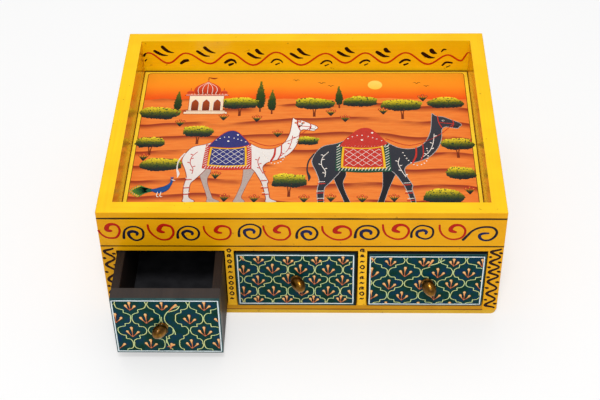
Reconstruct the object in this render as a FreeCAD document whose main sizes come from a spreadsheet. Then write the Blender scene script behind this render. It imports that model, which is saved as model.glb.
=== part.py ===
import FreeCAD, Part
import os
import re
import Sketcher

# A painted wooden box with three small drawers side by side under a picture tray.
# Millimetres. The origin is the middle of the underside, +X to the right, +Y to the back, +Z up.
# At rest the left drawer stands pulled out by left_pull, and the other two are shut.

SIZES = {
    # carcass
    "box_width": 305.0,
    "box_depth": 228.5,
    "box_height": 108.0,
    "wall_thick": 11.5,
    "base_thick": 4.3,
    "base_corner_radius": 5.0,
    "bay_floor_thick": 4.7,
    "tray_depth": 31.7,
    "tray_floor_thick": 7.6,
    "divider_thick": 6.7,
    "left_bay_width": 82.6,
    "right_bay_width": 91.4,
    "edge_radius": 0.8,
    # drawers
    "side_gap": 0.9,
    "under_gap": 0.3,
    "top_gap": 1.2,
    "closed_gap": 0.3,
    "face_proud": 0.8,
    "left_pull": 49.5,
    "front_thick": 12.0,
    "drawer_wall_thick": 6.0,
    "drawer_floor_thick": 4.0,
    "front_edge_radius": 0.6,
    # knobs and what holds them
    "knob_radius": 5.3,
    "knob_head_rise": 4.4,
    "knob_reach": 11.0,
    "knob_foot_radius": 4.4,
    "knob_foot_thick": 1.0,
    "knob_neck_radius": 2.8,
    "left_knob_offset": -4.6,
    "left_knob_lift": 1.5,
    "middle_knob_offset": 1.4,
    "middle_knob_lift": 1.5,
    "right_knob_offset": 1.8,
    "right_knob_lift": -2.0,
    "screw_radius": 1.5,
    "screw_grip": 7.0,
    "screw_head_radius": 3.2,
    "screw_head_thick": 2.0,
    "slot_width": 0.8,
    "slot_depth": 0.9,
    "washer_radius": 4.5,
    "washer_thick": 0.8,
    "screw_fit": 0.1,
    # headless panel pins, punched below the paint
    "pin_radius": 0.8,
    "pin_length": 24.0,
    "pin_cover": 1.5,
    "pin_fit": 0.05,
    "pin_margin": 18.0,
    "apron_pin_margin": 10.0,
    "side_pin_spacing": 120.0,
    "base_pin_spacing": 160.0,
    "brad_radius": 0.6,
    "brad_length": 20.0,
    "brad_margin": 13.0,
}

# Places that several pieces share, as formulas in the names above.
HALF_WIDTH = "(box_width / 2)"
FRONT = "(-box_depth / 2)"
BACK = "(box_depth / 2)"
INNER_BACK = "(box_depth / 2 - wall_thick)"
INNER_WIDTH = "(box_width - 2 * wall_thick)"
BAY_BOTTOM = "(base_thick + bay_floor_thick)"
BAY_TOP = "(box_height - tray_depth - tray_floor_thick)"
LEFT_DIVIDER = "(-box_width / 2 + wall_thick + left_bay_width)"
RIGHT_DIVIDER = "(box_width / 2 - wall_thick - right_bay_width - divider_thick)"
MIDDLE_BAY = "(box_width - 2 * wall_thick - 2 * divider_thick - left_bay_width - right_bay_width)"
DRAWER_BOTTOM = f"({BAY_BOTTOM} + under_gap)"
DRAWER_HEIGHT = f"({BAY_TOP} - {BAY_BOTTOM} - under_gap - top_gap)"
DRAWER_LENGTH = "(box_depth - wall_thick - closed_gap + face_proud)"

# Each drawer: its name, where its bay starts, the bay's width, and how far it stands out.
DRAWERS = [
    ("left", "(-box_width / 2 + wall_thick)", "left_bay_width", "left_pull"),
    ("middle", f"({LEFT_DIVIDER} + divider_thick)", MIDDLE_BAY, "0"),
    ("right", "(box_width / 2 - wall_thick - right_bay_width)", "right_bay_width", "0"),
]

# The size at which each sketch is first drawn, before its constraints take over.
DRAFT_SIZE = 10.0

# How near an edge lies to a face to count as on it.
TOUCH = 1e-6

# The turn that points a cylinder's length along each way.
TURNS = {
    "+z": FreeCAD.Rotation(),
    "-z": FreeCAD.Rotation(FreeCAD.Vector(1, 0, 0), 180),
    "+x": FreeCAD.Rotation(FreeCAD.Vector(0, 1, 0), 90),
    "-x": FreeCAD.Rotation(FreeCAD.Vector(0, 1, 0), -90),
    "+y": FreeCAD.Rotation(FreeCAD.Vector(1, 0, 0), -90),
    "-y": FreeCAD.Rotation(FreeCAD.Vector(1, 0, 0), 90),
}

doc = FreeCAD.newDocument("drawer_box")
sheet = doc.addObject("Spreadsheet::Sheet", "Sizes")
for row, (alias, value) in enumerate(SIZES.items(), start=1):
    sheet.set(f"A{row}", alias)
    sheet.set(f"B{row}", str(value))
    sheet.setAlias(f"B{row}", alias)
doc.recompute()

nodes = []


def bind(thing, place, formula):
    """Ties one property of a thing to a formula in the sheet's names."""
    thing.setExpression(place, re.sub(r"[a-z][a-z_]+", lambda found: f"Sizes.{found[0]}", formula))


def put(thing, corner, way="+z"):
    """Places a thing at a corner given as three formulas, turned to point one way."""
    thing.Placement = FreeCAD.Placement(FreeCAD.Vector(), TURNS[way])
    for axis, formula in zip("xyz", corner):
        bind(thing, f".Placement.Base.{axis}", formula)


def node(thing, label):
    """Names a finished sub-part, which gets a file of its own."""
    thing.Label = label
    nodes.append(thing)


def rectangle(body, width, depth):
    """A sketched rectangle on the body's own XY plane, from its origin to width and depth."""
    plane = next(f for f in body.Origin.OriginFeatures if f.Role == "XY_Plane")
    sketch = body.newObject("Sketcher::SketchObject", f"{body.Name}_sketch")
    sketch.AttachmentSupport = [(plane, "")]
    sketch.MapMode = "FlatFace"
    corners = [FreeCAD.Vector(DRAFT_SIZE * x, DRAFT_SIZE * y, 0) for x, y in ((0, 0), (1, 0), (1, 1), (0, 1))]
    for i in range(4):
        sketch.addGeometry(Part.LineSegment(corners[i], corners[(i + 1) % 4]), False)
    for i in range(4):
        sketch.addConstraint(Sketcher.Constraint("Coincident", i, 2, (i + 1) % 4, 1))
    for i, level in enumerate(("Horizontal", "Vertical") * 2):
        sketch.addConstraint(Sketcher.Constraint(level, i))
    sketch.addConstraint(Sketcher.Constraint("Coincident", 0, 1, -1, 1))
    for title, kind, edge, formula in (("width", "DistanceX", 0, width), ("depth", "DistanceY", 1, depth)):
        sketch.addConstraint(Sketcher.Constraint(kind, edge, 1, edge, 2, DRAFT_SIZE))
        sketch.renameConstraint(sketch.ConstraintCount - 1, title)
        bind(sketch, f"Constraints.{title}", formula)
    return sketch


def edge_between(shape, first, second):
    """The name of a block's edge between two of its faces, each called -x, +x, -y, +y, -z or +z."""
    box = shape.BoundBox
    reach = {"-x": box.XMin, "+x": box.XMax, "-y": box.YMin, "+y": box.YMax, "-z": box.ZMin, "+z": box.ZMax}
    for number, edge in enumerate(shape.Edges, start=1):
        middle = edge.CenterOfMass
        if all(abs(getattr(middle, side[1]) - reach[side]) < TOUCH for side in (first, second)):
            return f"Edge{number}"
    raise ValueError(f"no edge between {first} and {second}")


def board(name, size, corner, rounded=(), radius="edge_radius"):
    """A flat board of three sizes at a corner, with a radius on the edges between the faces named."""
    body = doc.addObject("PartDesign::Body", name)
    pad = body.newObject("PartDesign::Pad", f"{name}_pad")
    pad.Profile = rectangle(body, size[0], size[1])
    bind(pad, "Length", size[2])
    put(body, corner)
    doc.recompute()
    if rounded:
        fillet = body.newObject("PartDesign::Fillet", f"{name}_fillet")
        fillet.Base = (pad, [edge_between(pad.Shape, *pair.split()) for pair in rounded])
        bind(fillet, "Radius", radius)
    return body


def rod(name, start, way, radius, length):
    """A round rod that starts at a point and runs one way."""
    cylinder = doc.addObject("Part::Cylinder", name)
    bind(cylinder, "Radius", radius)
    bind(cylinder, "Height", length)
    put(cylinder, start, way)
    return cylinder


def before(start, way, amount):
    """The point that lies an amount behind a start, against the way."""
    point = list(start)
    axis = "xyz".index(way[1])
    point[axis] = f"({start[axis]} {'-' if way[0] == '+' else '+'} {amount})"
    return point


class Pins:
    """A group of headless pins of one size, and the holes that they need in each board."""

    def __init__(self, name, radius, length):
        self.name = name
        self.radius = radius
        self.length = length
        self.solids = []
        self.holes = {}

    def drive(self, start, way, boards):
        """Adds a pin, and its hole in the boards that it crosses."""
        count = len(self.solids) + 1
        self.solids.append(rod(f"{self.name}_{count}", start, way, self.radius, self.length))
        mouth = before(start, way, "pin_fit")
        wide = f"{self.radius} + pin_fit"
        hole = rod(f"{self.name}_hole_{count}", mouth, way, wide, f"{self.length} + 2 * pin_fit")
        for crossed in boards:
            self.holes.setdefault(crossed, []).append(hole)

    def finish(self):
        """Makes the pins one node."""
        group = doc.addObject("Part::Compound", self.name)
        group.Links = self.solids
        node(group, self.name)


def drilled(blank, label, holes):
    """The board's own node: its blank, less its holes."""
    blank.Label = f"{label}_blank"
    tools = doc.addObject("Part::Compound", f"{label}_holes")
    tools.Links = holes
    cut = doc.addObject("Part::Cut", f"{label}_cut")
    cut.Base = blank
    cut.Tool = tools
    node(cut, label)


def joined(name, things):
    """Several overlapping shapes made one solid."""
    fuse = doc.addObject("Part::MultiFuse", name)
    fuse.Shapes = things
    return fuse


def carcass():
    """The box itself: boards butted, glued and pinned, with the base under all of them."""
    blanks = {
        "base_board": board(
            "base_board",
            ("box_width", "box_depth", "base_thick"),
            (f"-{HALF_WIDTH}", FRONT, "0"),
            ("-x -y", "+x -y"),
            "base_corner_radius",
        ),
        "bay_floor": board(
            "bay_floor",
            (INNER_WIDTH, "(box_depth - wall_thick)", "bay_floor_thick"),
            (f"-{INNER_WIDTH} / 2", FRONT, "base_thick"),
        ),
        "back_panel": board(
            "back_panel",
            (INNER_WIDTH, "wall_thick", "(box_height - base_thick)"),
            (f"-{INNER_WIDTH} / 2", INNER_BACK, "base_thick"),
            ("+y +z",),
        ),
        "front_apron": board(
            "front_apron",
            (INNER_WIDTH, "wall_thick", f"(box_height - {BAY_TOP})"),
            (f"-{INNER_WIDTH} / 2", FRONT, BAY_TOP),
            ("-y +z",),
        ),
        "tray_floor_panel": board(
            "tray_floor_panel",
            (INNER_WIDTH, "(box_depth - 2 * wall_thick)", "tray_floor_thick"),
            (f"-{INNER_WIDTH} / 2", f"({FRONT} + wall_thick)", BAY_TOP),
        ),
    }
    for side, outer in (("left", f"-{HALF_WIDTH}"), ("right", f"({HALF_WIDTH} - wall_thick)")):
        out = "-x" if side == "left" else "+x"
        blanks[f"{side}_side_panel"] = board(
            f"{side}_side_panel",
            ("wall_thick", "box_depth", "(box_height - base_thick)"),
            (outer, FRONT, "base_thick"),
            (f"{out} -y", f"{out} +y", f"{out} +z", "-y +z", "+y +z"),
        )
    for side, start in (("left", LEFT_DIVIDER), ("right", RIGHT_DIVIDER)):
        blanks[f"{side}_divider"] = board(
            f"{side}_divider",
            ("divider_thick", "(box_depth - wall_thick)", f"({BAY_TOP} - {BAY_BOTTOM})"),
            (start, FRONT, BAY_BOTTOM),
        )
    pins = carcass_pins()
    for name, blank in blanks.items():
        drilled(blank, name, pins.holes[name])
    pins.finish()


def carcass_pins():
    """The pins through the sides, up through the base and down through the tray floor."""
    pins = Pins("carcass_pins", "pin_radius", "pin_length")
    for side, way, sign in (("left", "+x", "-"), ("right", "-x", "+")):
        panel = f"{side}_side_panel"
        outer = f"({sign}({HALF_WIDTH} - pin_cover))"
        middle = f"({sign}({HALF_WIDTH} - wall_thick / 2))"
        for z in ("(base_thick + pin_margin)", "(box_height - pin_margin)"):
            pins.drive((outer, f"({BACK} - wall_thick / 2)", z), way, [panel, "back_panel"])
        for z in (f"({BAY_TOP} + apron_pin_margin)", "(box_height - apron_pin_margin)"):
            pins.drive((outer, f"({FRONT} + wall_thick / 2)", z), way, [panel, "front_apron"])
        for y in ("-side_pin_spacing / 2", "side_pin_spacing / 2"):
            pins.drive((outer, y, f"({BAY_TOP} + tray_floor_thick / 2)"), way, [panel, "tray_floor_panel"])
            pins.drive((outer, y, "(base_thick + bay_floor_thick / 2)"), way, [panel, "bay_floor"])
        for y in ("-base_pin_spacing / 2", "0", "base_pin_spacing / 2"):
            pins.drive((middle, y, "0"), "+z", ["base_board", panel])
    for side, start in (("left", LEFT_DIVIDER), ("right", RIGHT_DIVIDER)):
        divider = f"{side}_divider"
        middle = f"({start} + divider_thick / 2)"
        for y in ("-base_pin_spacing / 2", "0", "base_pin_spacing / 2"):
            pins.drive((middle, y, "0"), "+z", ["base_board", "bay_floor", divider])
        for y in ("-side_pin_spacing / 2", "side_pin_spacing / 2"):
            top = "(box_height - tray_depth - pin_cover)"
            pins.drive((middle, y, top), "-z", ["tray_floor_panel", divider])
    return pins


def knob(drawer, x, face, z):
    """A turned brass knob with a flattened head, and the screw and washer that hold it from inside."""
    head = doc.addObject("Part::Ellipsoid", f"{drawer}_knob_head")
    bind(head, "Radius1", "knob_head_rise")
    bind(head, "Radius2", "knob_radius")
    bind(head, "Radius3", "knob_radius")
    put(head, (x, f"({face} - knob_reach + knob_head_rise)", z), "-y")
    foot = rod(f"{drawer}_knob_foot", (x, face, z), "-y", "knob_foot_radius", "knob_foot_thick")
    neck = doc.addObject("Part::Cone", f"{drawer}_knob_neck")
    bind(neck, "Radius1", "knob_foot_radius")
    bind(neck, "Radius2", "knob_neck_radius")
    bind(neck, "Height", "knob_reach - 2 * knob_head_rise")
    put(neck, (x, f"({face} - knob_foot_thick)", z), "-y")
    turned = joined(f"{drawer}_knob_turned", [head, foot, neck])
    bore_size = ("screw_radius + screw_fit", "screw_grip + screw_fit")
    bore = rod(f"{drawer}_knob_bore", (x, face, z), "-y", *bore_size)
    bored = doc.addObject("Part::Cut", f"{drawer}_knob_bored")
    bored.Base = turned
    bored.Tool = bore
    node(bored, f"{drawer}_drawer_knob")

    inside = f"({face} + front_thick)"
    seat = f"({inside} + washer_thick)"
    washer_disc = rod(f"{drawer}_washer_disc", (x, seat, z), "-y", "washer_radius", "washer_thick")
    washer_hole = rod(f"{drawer}_washer_hole", (x, seat, z), "-y", "screw_radius + screw_fit", "washer_thick")
    washer = doc.addObject("Part::Cut", f"{drawer}_washer")
    washer.Base = washer_disc
    washer.Tool = washer_hole
    node(washer, f"{drawer}_drawer_knob_washer")

    back = f"({seat} + screw_head_thick)"
    screw_head = rod(f"{drawer}_screw_head", (x, back, z), "-y", "screw_head_radius", "screw_head_thick")
    shank_length = "(front_thick + washer_thick + screw_head_thick + screw_grip)"
    shank = rod(f"{drawer}_screw_shank", (x, back, z), "-y", "screw_radius", shank_length)
    slot = doc.addObject("Part::Box", f"{drawer}_screw_slot")
    bind(slot, "Length", "slot_width")
    bind(slot, "Width", "slot_depth")
    bind(slot, "Height", "2 * screw_head_radius")
    put(slot, (f"({x} - slot_width / 2)", f"({back} - slot_depth)", f"({z} - screw_head_radius)"))
    screw = doc.addObject("Part::Cut", f"{drawer}_screw")
    screw.Base = joined(f"{drawer}_screw_turned", [screw_head, shank])
    screw.Tool = slot
    node(screw, f"{drawer}_drawer_knob_screw")
    return rod(f"{drawer}_screw_hole", (x, inside, z), "-y", "screw_radius + screw_fit", "front_thick")


def drawer(name, bay, bay_width, pull):
    """One drawer: a thick front, two walls and a back behind it, and a floor let in between them.

    Its knob stands near the middle of the front, where the hole was drilled by eye."""
    start = f"({bay} + side_gap)"
    width = f"({bay_width} - 2 * side_gap)"
    face = f"({FRONT} - face_proud - {pull})"
    inside = f"({face} + front_thick)"
    end = f"({face} + {DRAWER_LENGTH})"
    inner_width = f"({width} - 2 * drawer_wall_thick)"
    left_inner = f"({start} + drawer_wall_thick)"
    right_inner = f"({start} + {width} - drawer_wall_thick)"
    wall_size = ("drawer_wall_thick", f"({DRAWER_LENGTH} - front_thick)", DRAWER_HEIGHT)
    blanks = {
        "front": board(
            f"{name}_front",
            (width, "front_thick", DRAWER_HEIGHT),
            (start, face, DRAWER_BOTTOM),
            ("-y -x", "-y +x", "-y -z", "-y +z"),
            "front_edge_radius",
        ),
        "left_wall": board(f"{name}_left_wall", wall_size, (start, inside, DRAWER_BOTTOM)),
        "right_wall": board(f"{name}_right_wall", wall_size, (right_inner, inside, DRAWER_BOTTOM)),
        "back": board(
            f"{name}_back",
            (inner_width, "drawer_wall_thick", DRAWER_HEIGHT),
            (left_inner, f"({end} - drawer_wall_thick)", DRAWER_BOTTOM),
        ),
        "floor": board(
            f"{name}_floor",
            (inner_width, f"({DRAWER_LENGTH} - front_thick - drawer_wall_thick)", "drawer_floor_thick"),
            (left_inner, inside, DRAWER_BOTTOM),
        ),
    }
    pins = Pins(f"{name}_drawer_pins", "brad_radius", "brad_length")
    low = f"({DRAWER_BOTTOM} + brad_margin)"
    high = f"({DRAWER_BOTTOM} + {DRAWER_HEIGHT} - brad_margin)"
    half_wall = "drawer_wall_thick / 2"
    for wall, way, outer, middle in (
        ("left_wall", "+x", f"({start} + pin_cover)", f"({start} + {half_wall})"),
        ("right_wall", "-x", f"({start} + {width} - pin_cover)", f"({start} + {width} - {half_wall})"),
    ):
        for z in (low, high):
            pins.drive((middle, f"({face} + pin_cover)", z), "+y", ["front", wall])
            pins.drive((outer, f"({end} - {half_wall})", z), way, [wall, "back"])
        for y in (f"({inside} + 2 * brad_margin)", f"({end} - 2 * brad_margin)"):
            pins.drive((outer, y, f"({DRAWER_BOTTOM} + drawer_floor_thick / 2)"), way, [wall, "floor"])
    knob_x = f"({bay} + {bay_width} / 2 + {name}_knob_offset)"
    knob_z = f"({DRAWER_BOTTOM} + {DRAWER_HEIGHT} / 2 + {name}_knob_lift)"
    pins.holes["front"].append(knob(name, knob_x, face, knob_z))
    for piece, blank in blanks.items():
        drilled(blank, f"{name}_drawer_{piece}", pins.holes[piece])
    pins.finish()


carcass()
for row in DRAWERS:
    drawer(*row)
doc.recompute()

for thing in doc.Objects:
    if "Invalid" in thing.State or "Error" in thing.State:
        raise RuntimeError(f"{thing.Name} failed: {thing.State}")
os.makedirs("parts", exist_ok=True)
for thing in nodes:
    shape = thing.Shape
    if shape.isNull() or not shape.isValid() or not shape.Solids:
        raise RuntimeError(f"{thing.Label} has no valid solid")
for thing in nodes:
    thing.Shape.exportStep(f"parts/{thing.Label}.step")
print(len(nodes), "nodes")
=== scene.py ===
import math
import random

import bmesh
import bpy
from mathutils import Matrix, Vector


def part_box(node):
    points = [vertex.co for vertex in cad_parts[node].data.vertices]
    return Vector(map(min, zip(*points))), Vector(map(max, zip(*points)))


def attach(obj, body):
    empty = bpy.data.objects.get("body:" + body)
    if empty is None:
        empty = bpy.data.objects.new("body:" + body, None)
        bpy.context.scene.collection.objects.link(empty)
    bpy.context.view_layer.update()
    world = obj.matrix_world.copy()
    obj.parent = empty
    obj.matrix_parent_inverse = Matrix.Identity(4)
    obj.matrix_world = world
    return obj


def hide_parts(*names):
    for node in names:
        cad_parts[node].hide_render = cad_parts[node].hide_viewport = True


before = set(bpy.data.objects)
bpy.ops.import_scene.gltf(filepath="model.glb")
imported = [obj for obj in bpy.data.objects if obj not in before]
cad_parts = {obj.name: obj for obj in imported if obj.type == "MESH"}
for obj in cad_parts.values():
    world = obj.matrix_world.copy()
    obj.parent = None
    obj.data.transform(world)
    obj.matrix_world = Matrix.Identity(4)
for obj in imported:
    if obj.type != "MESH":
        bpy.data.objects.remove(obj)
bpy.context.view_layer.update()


# THE CARCASS BOARDS
# A base board, a bay floor, two sides, a back, the apron over the drawers, the tray floor and two dividers.
# They are pine, glued and pinned, and brushed with glossy yellow paint. It is painted a lighter lemon on level
# faces and a darker amber on upright ones, as painted light and shade, and stained in the tray's corners.

MM = 0.001
PAINT_SHEEN = 0.12
GRAIN_ALONG, GRAIN_ACROSS = 16.0, 520.0
SPECK_STRENGTH = 0.35
GRIME_HEIGHT = 24.0
WALL_GLOSS = 0.6


def rgb(red, green, blue):
    """A paint colour, given as a screen shows it, in the shader's linear light."""
    parts = [part / 255 for part in (red, green, blue)]
    linear = [part / 12.92 if part < 0.04 else ((part + 0.055) / 1.055) ** 2.4 for part in parts]
    return (*linear, 1.0)


def node(tree, kind, sockets=None, **settings):
    """One more node in a tree. Each named or numbered socket gets a value or a link."""
    made = tree.nodes.new(kind)
    for setting, value in settings.items():
        setattr(made, setting, value)
    for socket, value in (sockets or {}).items():
        if isinstance(value, bpy.types.NodeSocket):
            tree.links.new(value, made.inputs[socket])
        else:
            made.inputs[socket].default_value = value
    return made


def answer(tree, kind, sockets=None, **settings):
    """The first output of one more node."""
    return node(tree, kind, sockets, **settings).outputs[0]


def calc(tree, operation, first, second=0.0, clamp=False):
    """A math node's answer."""
    return answer(tree, "ShaderNodeMath", {0: first, 1: second}, operation=operation, use_clamp=clamp)


def blend_colours(tree, factor, first, second, mode="MIX"):
    """Two colours mixed by a factor."""
    sockets = {0: factor, 6: first, 7: second}
    return node(tree, "ShaderNodeMix", sockets, data_type="RGBA", blend_type=mode).outputs[2]


def graded(tree, factor, stops, easing="LINEAR"):
    """A colour ramp over (place, colour) stops."""
    ramp = node(tree, "ShaderNodeValToRGB", {0: factor})
    ramp.color_ramp.interpolation = easing
    for number, (place, colour) in enumerate(stops):
        spots = ramp.color_ramp.elements
        spot = spots[number] if number < 2 else spots.new(place)
        spot.position = place
        spot.color = colour
    return ramp.outputs[0]


def band(tree, value, low, high):
    """0 below low, 1 above high, and a smooth rise between them."""
    sockets = {0: value, 1: low, 2: high, 3: 0.0, 4: 1.0}
    return answer(tree, "ShaderNodeMapRange", sockets, interpolation_type="SMOOTHSTEP")


def noise(tree, where, scale, detail=3.0, rough=0.55):
    """Soft random spots, scale to the metre, between 0 and 1."""
    sockets = {"Vector": where, "Scale": scale, "Detail": detail, "Roughness": rough}
    return answer(tree, "ShaderNodeTexNoise", sockets)


def stretched(tree, scale):
    """The object's own coordinates, drawn out by a scale for each axis."""
    place = node(tree, "ShaderNodeTexCoord").outputs["Object"]
    return answer(tree, "ShaderNodeMapping", {"Vector": place, "Scale": scale})


def split(tree, vector):
    """The three parts of a vector."""
    return node(tree, "ShaderNodeSeparateXYZ", {0: vector}).outputs


def new_finish(name, rough, metal=0.0):
    """A material with its node tree and its shader."""
    material = bpy.data.materials.new(name)
    material.use_nodes = True
    shader = material.node_tree.nodes["Principled BSDF"]
    shader.inputs["Roughness"].default_value = rough
    shader.inputs["Metallic"].default_value = metal
    shader.inputs["Specular IOR Level"].default_value = 0.5 if metal else PAINT_SHEEN
    return material, material.node_tree, shader


def emboss(tree, shader, height, depth):
    """Bumps the shader's surface by a height, depth in metres."""
    bump = answer(tree, "ShaderNodeBump", {"Height": height, "Distance": depth, "Strength": 1.0})
    tree.links.new(bump, shader.inputs["Normal"])


def brushed_wood(name, level, upright, along, grime=0.0, inside=None, wall_shine=0.0):
    """Gloss paint over pine, brushed along the board: a lighter tone on level faces and a darker one on upright ones
    as painted light and shade, a lighter yellow as painted light on the tray's own walls, and old brown grime low on
    them."""
    material, tree, shader = new_finish(name, 0.36)
    facing = split(tree, node(tree, "ShaderNodeTexCoord").outputs["Normal"])[2]
    place = split(tree, stretched(tree, (1, 1, 1)))
    within = calc(tree, "GREATER_THAN", place[2], TRAY_FLOOR)
    for axis, reach in ((0, TRAY_REACH.x), (1, TRAY_REACH.y)):
        near = calc(tree, "LESS_THAN", calc(tree, "ABSOLUTE", place[axis]), reach + 0.3 * MM)
        within = calc(tree, "MULTIPLY", within, near)
    # Painted light: the tray's inner walls take a lighter yellow than the outside, for the light the recess lacks.
    upright = blend_colours(tree, within, upright, inside or TRAY_YELLOW)
    # Painted light and shade: level faces take the lighter tone and upright faces the darker one, by which way each
    # turns.
    colour = blend_colours(tree, band(tree, facing, 0.45, 0.95), upright, level)
    grain = [GRAIN_ALONG if axis == along else GRAIN_ACROSS for axis in "XYZ"]
    marks = noise(tree, stretched(tree, grain), 1.0, 4.0, 0.6)
    streaks = graded(tree, marks, [(0.3, rgb(248, 245, 240)), (0.7, rgb(255, 255, 255))])
    colour = blend_colours(tree, 1.0, colour, streaks, "MULTIPLY")
    patches = noise(tree, stretched(tree, (1, 1, 1)), 34.0, 4.0)
    cloudy = graded(tree, patches, [(0.35, rgb(250, 244, 230)), (0.62, rgb(255, 255, 255))])
    colour = blend_colours(tree, 1.0, colour, cloudy, "MULTIPLY")
    specks = band(tree, noise(tree, stretched(tree, (1, 1, 1)), 260.0, 2.0, 0.4), 0.72, 0.76)
    colour = blend_colours(tree, calc(tree, "MULTIPLY", specks, SPECK_STRENGTH), colour, SPECK_BROWN)
    if grime:
        low = band(tree, place[2], TRAY_FLOOR + GRIME_HEIGHT * MM, TRAY_FLOOR)
        smears = band(tree, noise(tree, stretched(tree, (1, 26, 60)), 1.6, 5.0, 0.65), 0.48, 0.7)
        stains = calc(tree, "MULTIPLY", calc(tree, "MULTIPLY", low, within), smears)
        colour = blend_colours(tree, calc(tree, "MULTIPLY", stains, grime), colour, GRIME_BROWN)
    tree.links.new(colour, shader.inputs["Base Color"])
    rough = answer(tree, "ShaderNodeMapRange", {0: patches, 1: 0.3, 2: 0.7, 3: 0.46, 4: 0.3})
    dull = calc(tree, "SUBTRACT", 1.0, calc(tree, "MULTIPLY", within, WALL_GLOSS))
    tree.links.new(calc(tree, "MULTIPLY", rough, dull), shader.inputs["Roughness"])
    if wall_shine:
        shine = calc(tree, "ADD", PAINT_SHEEN, calc(tree, "MULTIPLY", within, wall_shine))
        tree.links.new(shine, shader.inputs["Specular IOR Level"])
    emboss(tree, shader, marks, 0.00012)
    return material, tree, shader, colour


def repaint(names, material):
    """Gives CAD nodes a material in every slot."""
    for name in names:
        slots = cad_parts[name].data.materials
        slots.clear()
        slots.append(material)


# Lit and shaded tones of one yellow paint. TRAY_YELLOW and TRAY_SIDE are lighter, painted light on the tray's inner
# walls.
LEMON = rgb(255, 205, 24)
AMBER = rgb(238, 171, 6)
TRAY_YELLOW = rgb(255, 213, 4)
TRAY_SIDE = rgb(238, 176, 4)
SPECK_BROWN = rgb(96, 52, 10)
GRIME_BROWN = rgb(128, 66, 6)
TRAY_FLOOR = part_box("tray_floor_panel")[1].z
TRAY_REACH = Vector((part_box("right_side_panel")[0].x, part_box("back_panel")[0].y))
# Painted light: the dividers' upright tone is lighter for the shade beside the drawers, the base board's for its
# rounded edge.
for boards, coat in (
    (["front_apron"], ("amber_apron", LEMON, AMBER, "X")),
    (["back_panel"], ("amber_back", LEMON, AMBER, "X", 0.0, None, 0.5)),
    (["left_divider", "right_divider"], ("amber_dividers", LEMON, rgb(255, 196, 34), "Y")),
    (["base_board"], ("lemon_base", rgb(255, 205, 60), rgb(224, 180, 52), "X")),
    (["bay_floor"], ("bay_floor_amber", AMBER, rgb(208, 148, 16), "X")),
    (["left_side_panel"], ("stained_side", LEMON, AMBER, "Y", 0.85, TRAY_SIDE, 0.32)),
    (["right_side_panel"], ("cleaner_side", LEMON, AMBER, "Y", 0.45, TRAY_SIDE, 0.32)),
):
    repaint(boards, brushed_wood(*coat)[0])


# THE PINS
# Thin steel panel pins hold the glued boards. Their ends are flush in the underside and the drawers'
# edges, dulled by paint and damp.

def worn_steel(name):
    """Bare steel gone grey, with a few brown spots."""
    material, tree, shader = new_finish(name, 0.42, 1.0)
    spots = noise(tree, stretched(tree, (1, 1, 1)), 900.0, 4.0, 0.7)
    colour = graded(tree, spots, [(0.4, rgb(168, 166, 160)), (0.6, rgb(128, 118, 104)), (0.72, rgb(96, 60, 34))])
    tree.links.new(colour, shader.inputs["Base Color"])
    emboss(tree, shader, spots, 0.00004)
    return material


DRAWERS = ("left", "middle", "right")
STEEL_BITS = [f"{drawer}_drawer_{bit}" for drawer in DRAWERS for bit in ("pins", "knob_screw", "knob_washer")]
repaint(["carcass_pins"] + STEEL_BITS, worn_steel("dull_steel"))


# THE APRON'S LINES
# Two olive-brown lines are ruled round the box with a thin brush, above and below the scrolls.
# Every painted line stands up a little from the board, as gloss paint does.

LINE_HEIGHTS = (73.5, 101.85)
LINE_WIDTHS = (1.4, 1.75)
LINE_WOBBLE, LINE_DRIFT = (0.86, 1.12), 0.06
CORNER_ROUND = 0.9
SIDE_STEPS = 24
PAINT_THICK = 0.07
BURIED = 0.03
BOX_LOW, BOX_HIGH = Vector(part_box("left_side_panel")[0]), Vector(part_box("right_side_panel")[1])


def paint_finish(name, *colours, rough=0.4, speckle=0.3, scale=700.0):
    """Opaque brush paint. Several colours follow the shade painted on the piece; one is only mottled."""
    material, tree, shader = new_finish(name, rough)
    spots = noise(tree, stretched(tree, (1, 1, 1)), scale, 3.0, 0.6)
    wander = calc(tree, "MULTIPLY", calc(tree, "SUBTRACT", spots, 0.5), speckle)
    if len(colours) == 1:
        dark, full = ([part * share for part in colours[0][:3]] + [1.0] for share in (0.72, 1.0))
        stops = [(0.4, dark), (0.55, full)]
        factor = calc(tree, "ADD", wander, 0.52)
    else:
        stops = [(step / (len(colours) - 1), colour) for step, colour in enumerate(colours)]
        shade = node(tree, "ShaderNodeAttribute", attribute_name="shade").outputs["Fac"]
        factor = calc(tree, "ADD", wander, shade, clamp=True)
    tree.links.new(graded(tree, factor, stops), shader.inputs["Base Color"])
    emboss(tree, shader, spots, 0.00003)
    return material


def piece(name, mesh, body, finish=None):
    """A finished piece, at the origin with its place in its mesh, riding on its body."""
    if finish:
        mesh.materials.clear()
        mesh.materials.append(finish)
    made = bpy.data.objects.new(name, mesh)
    bpy.context.collection.objects.link(made)
    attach(made, body)
    return made


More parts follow.
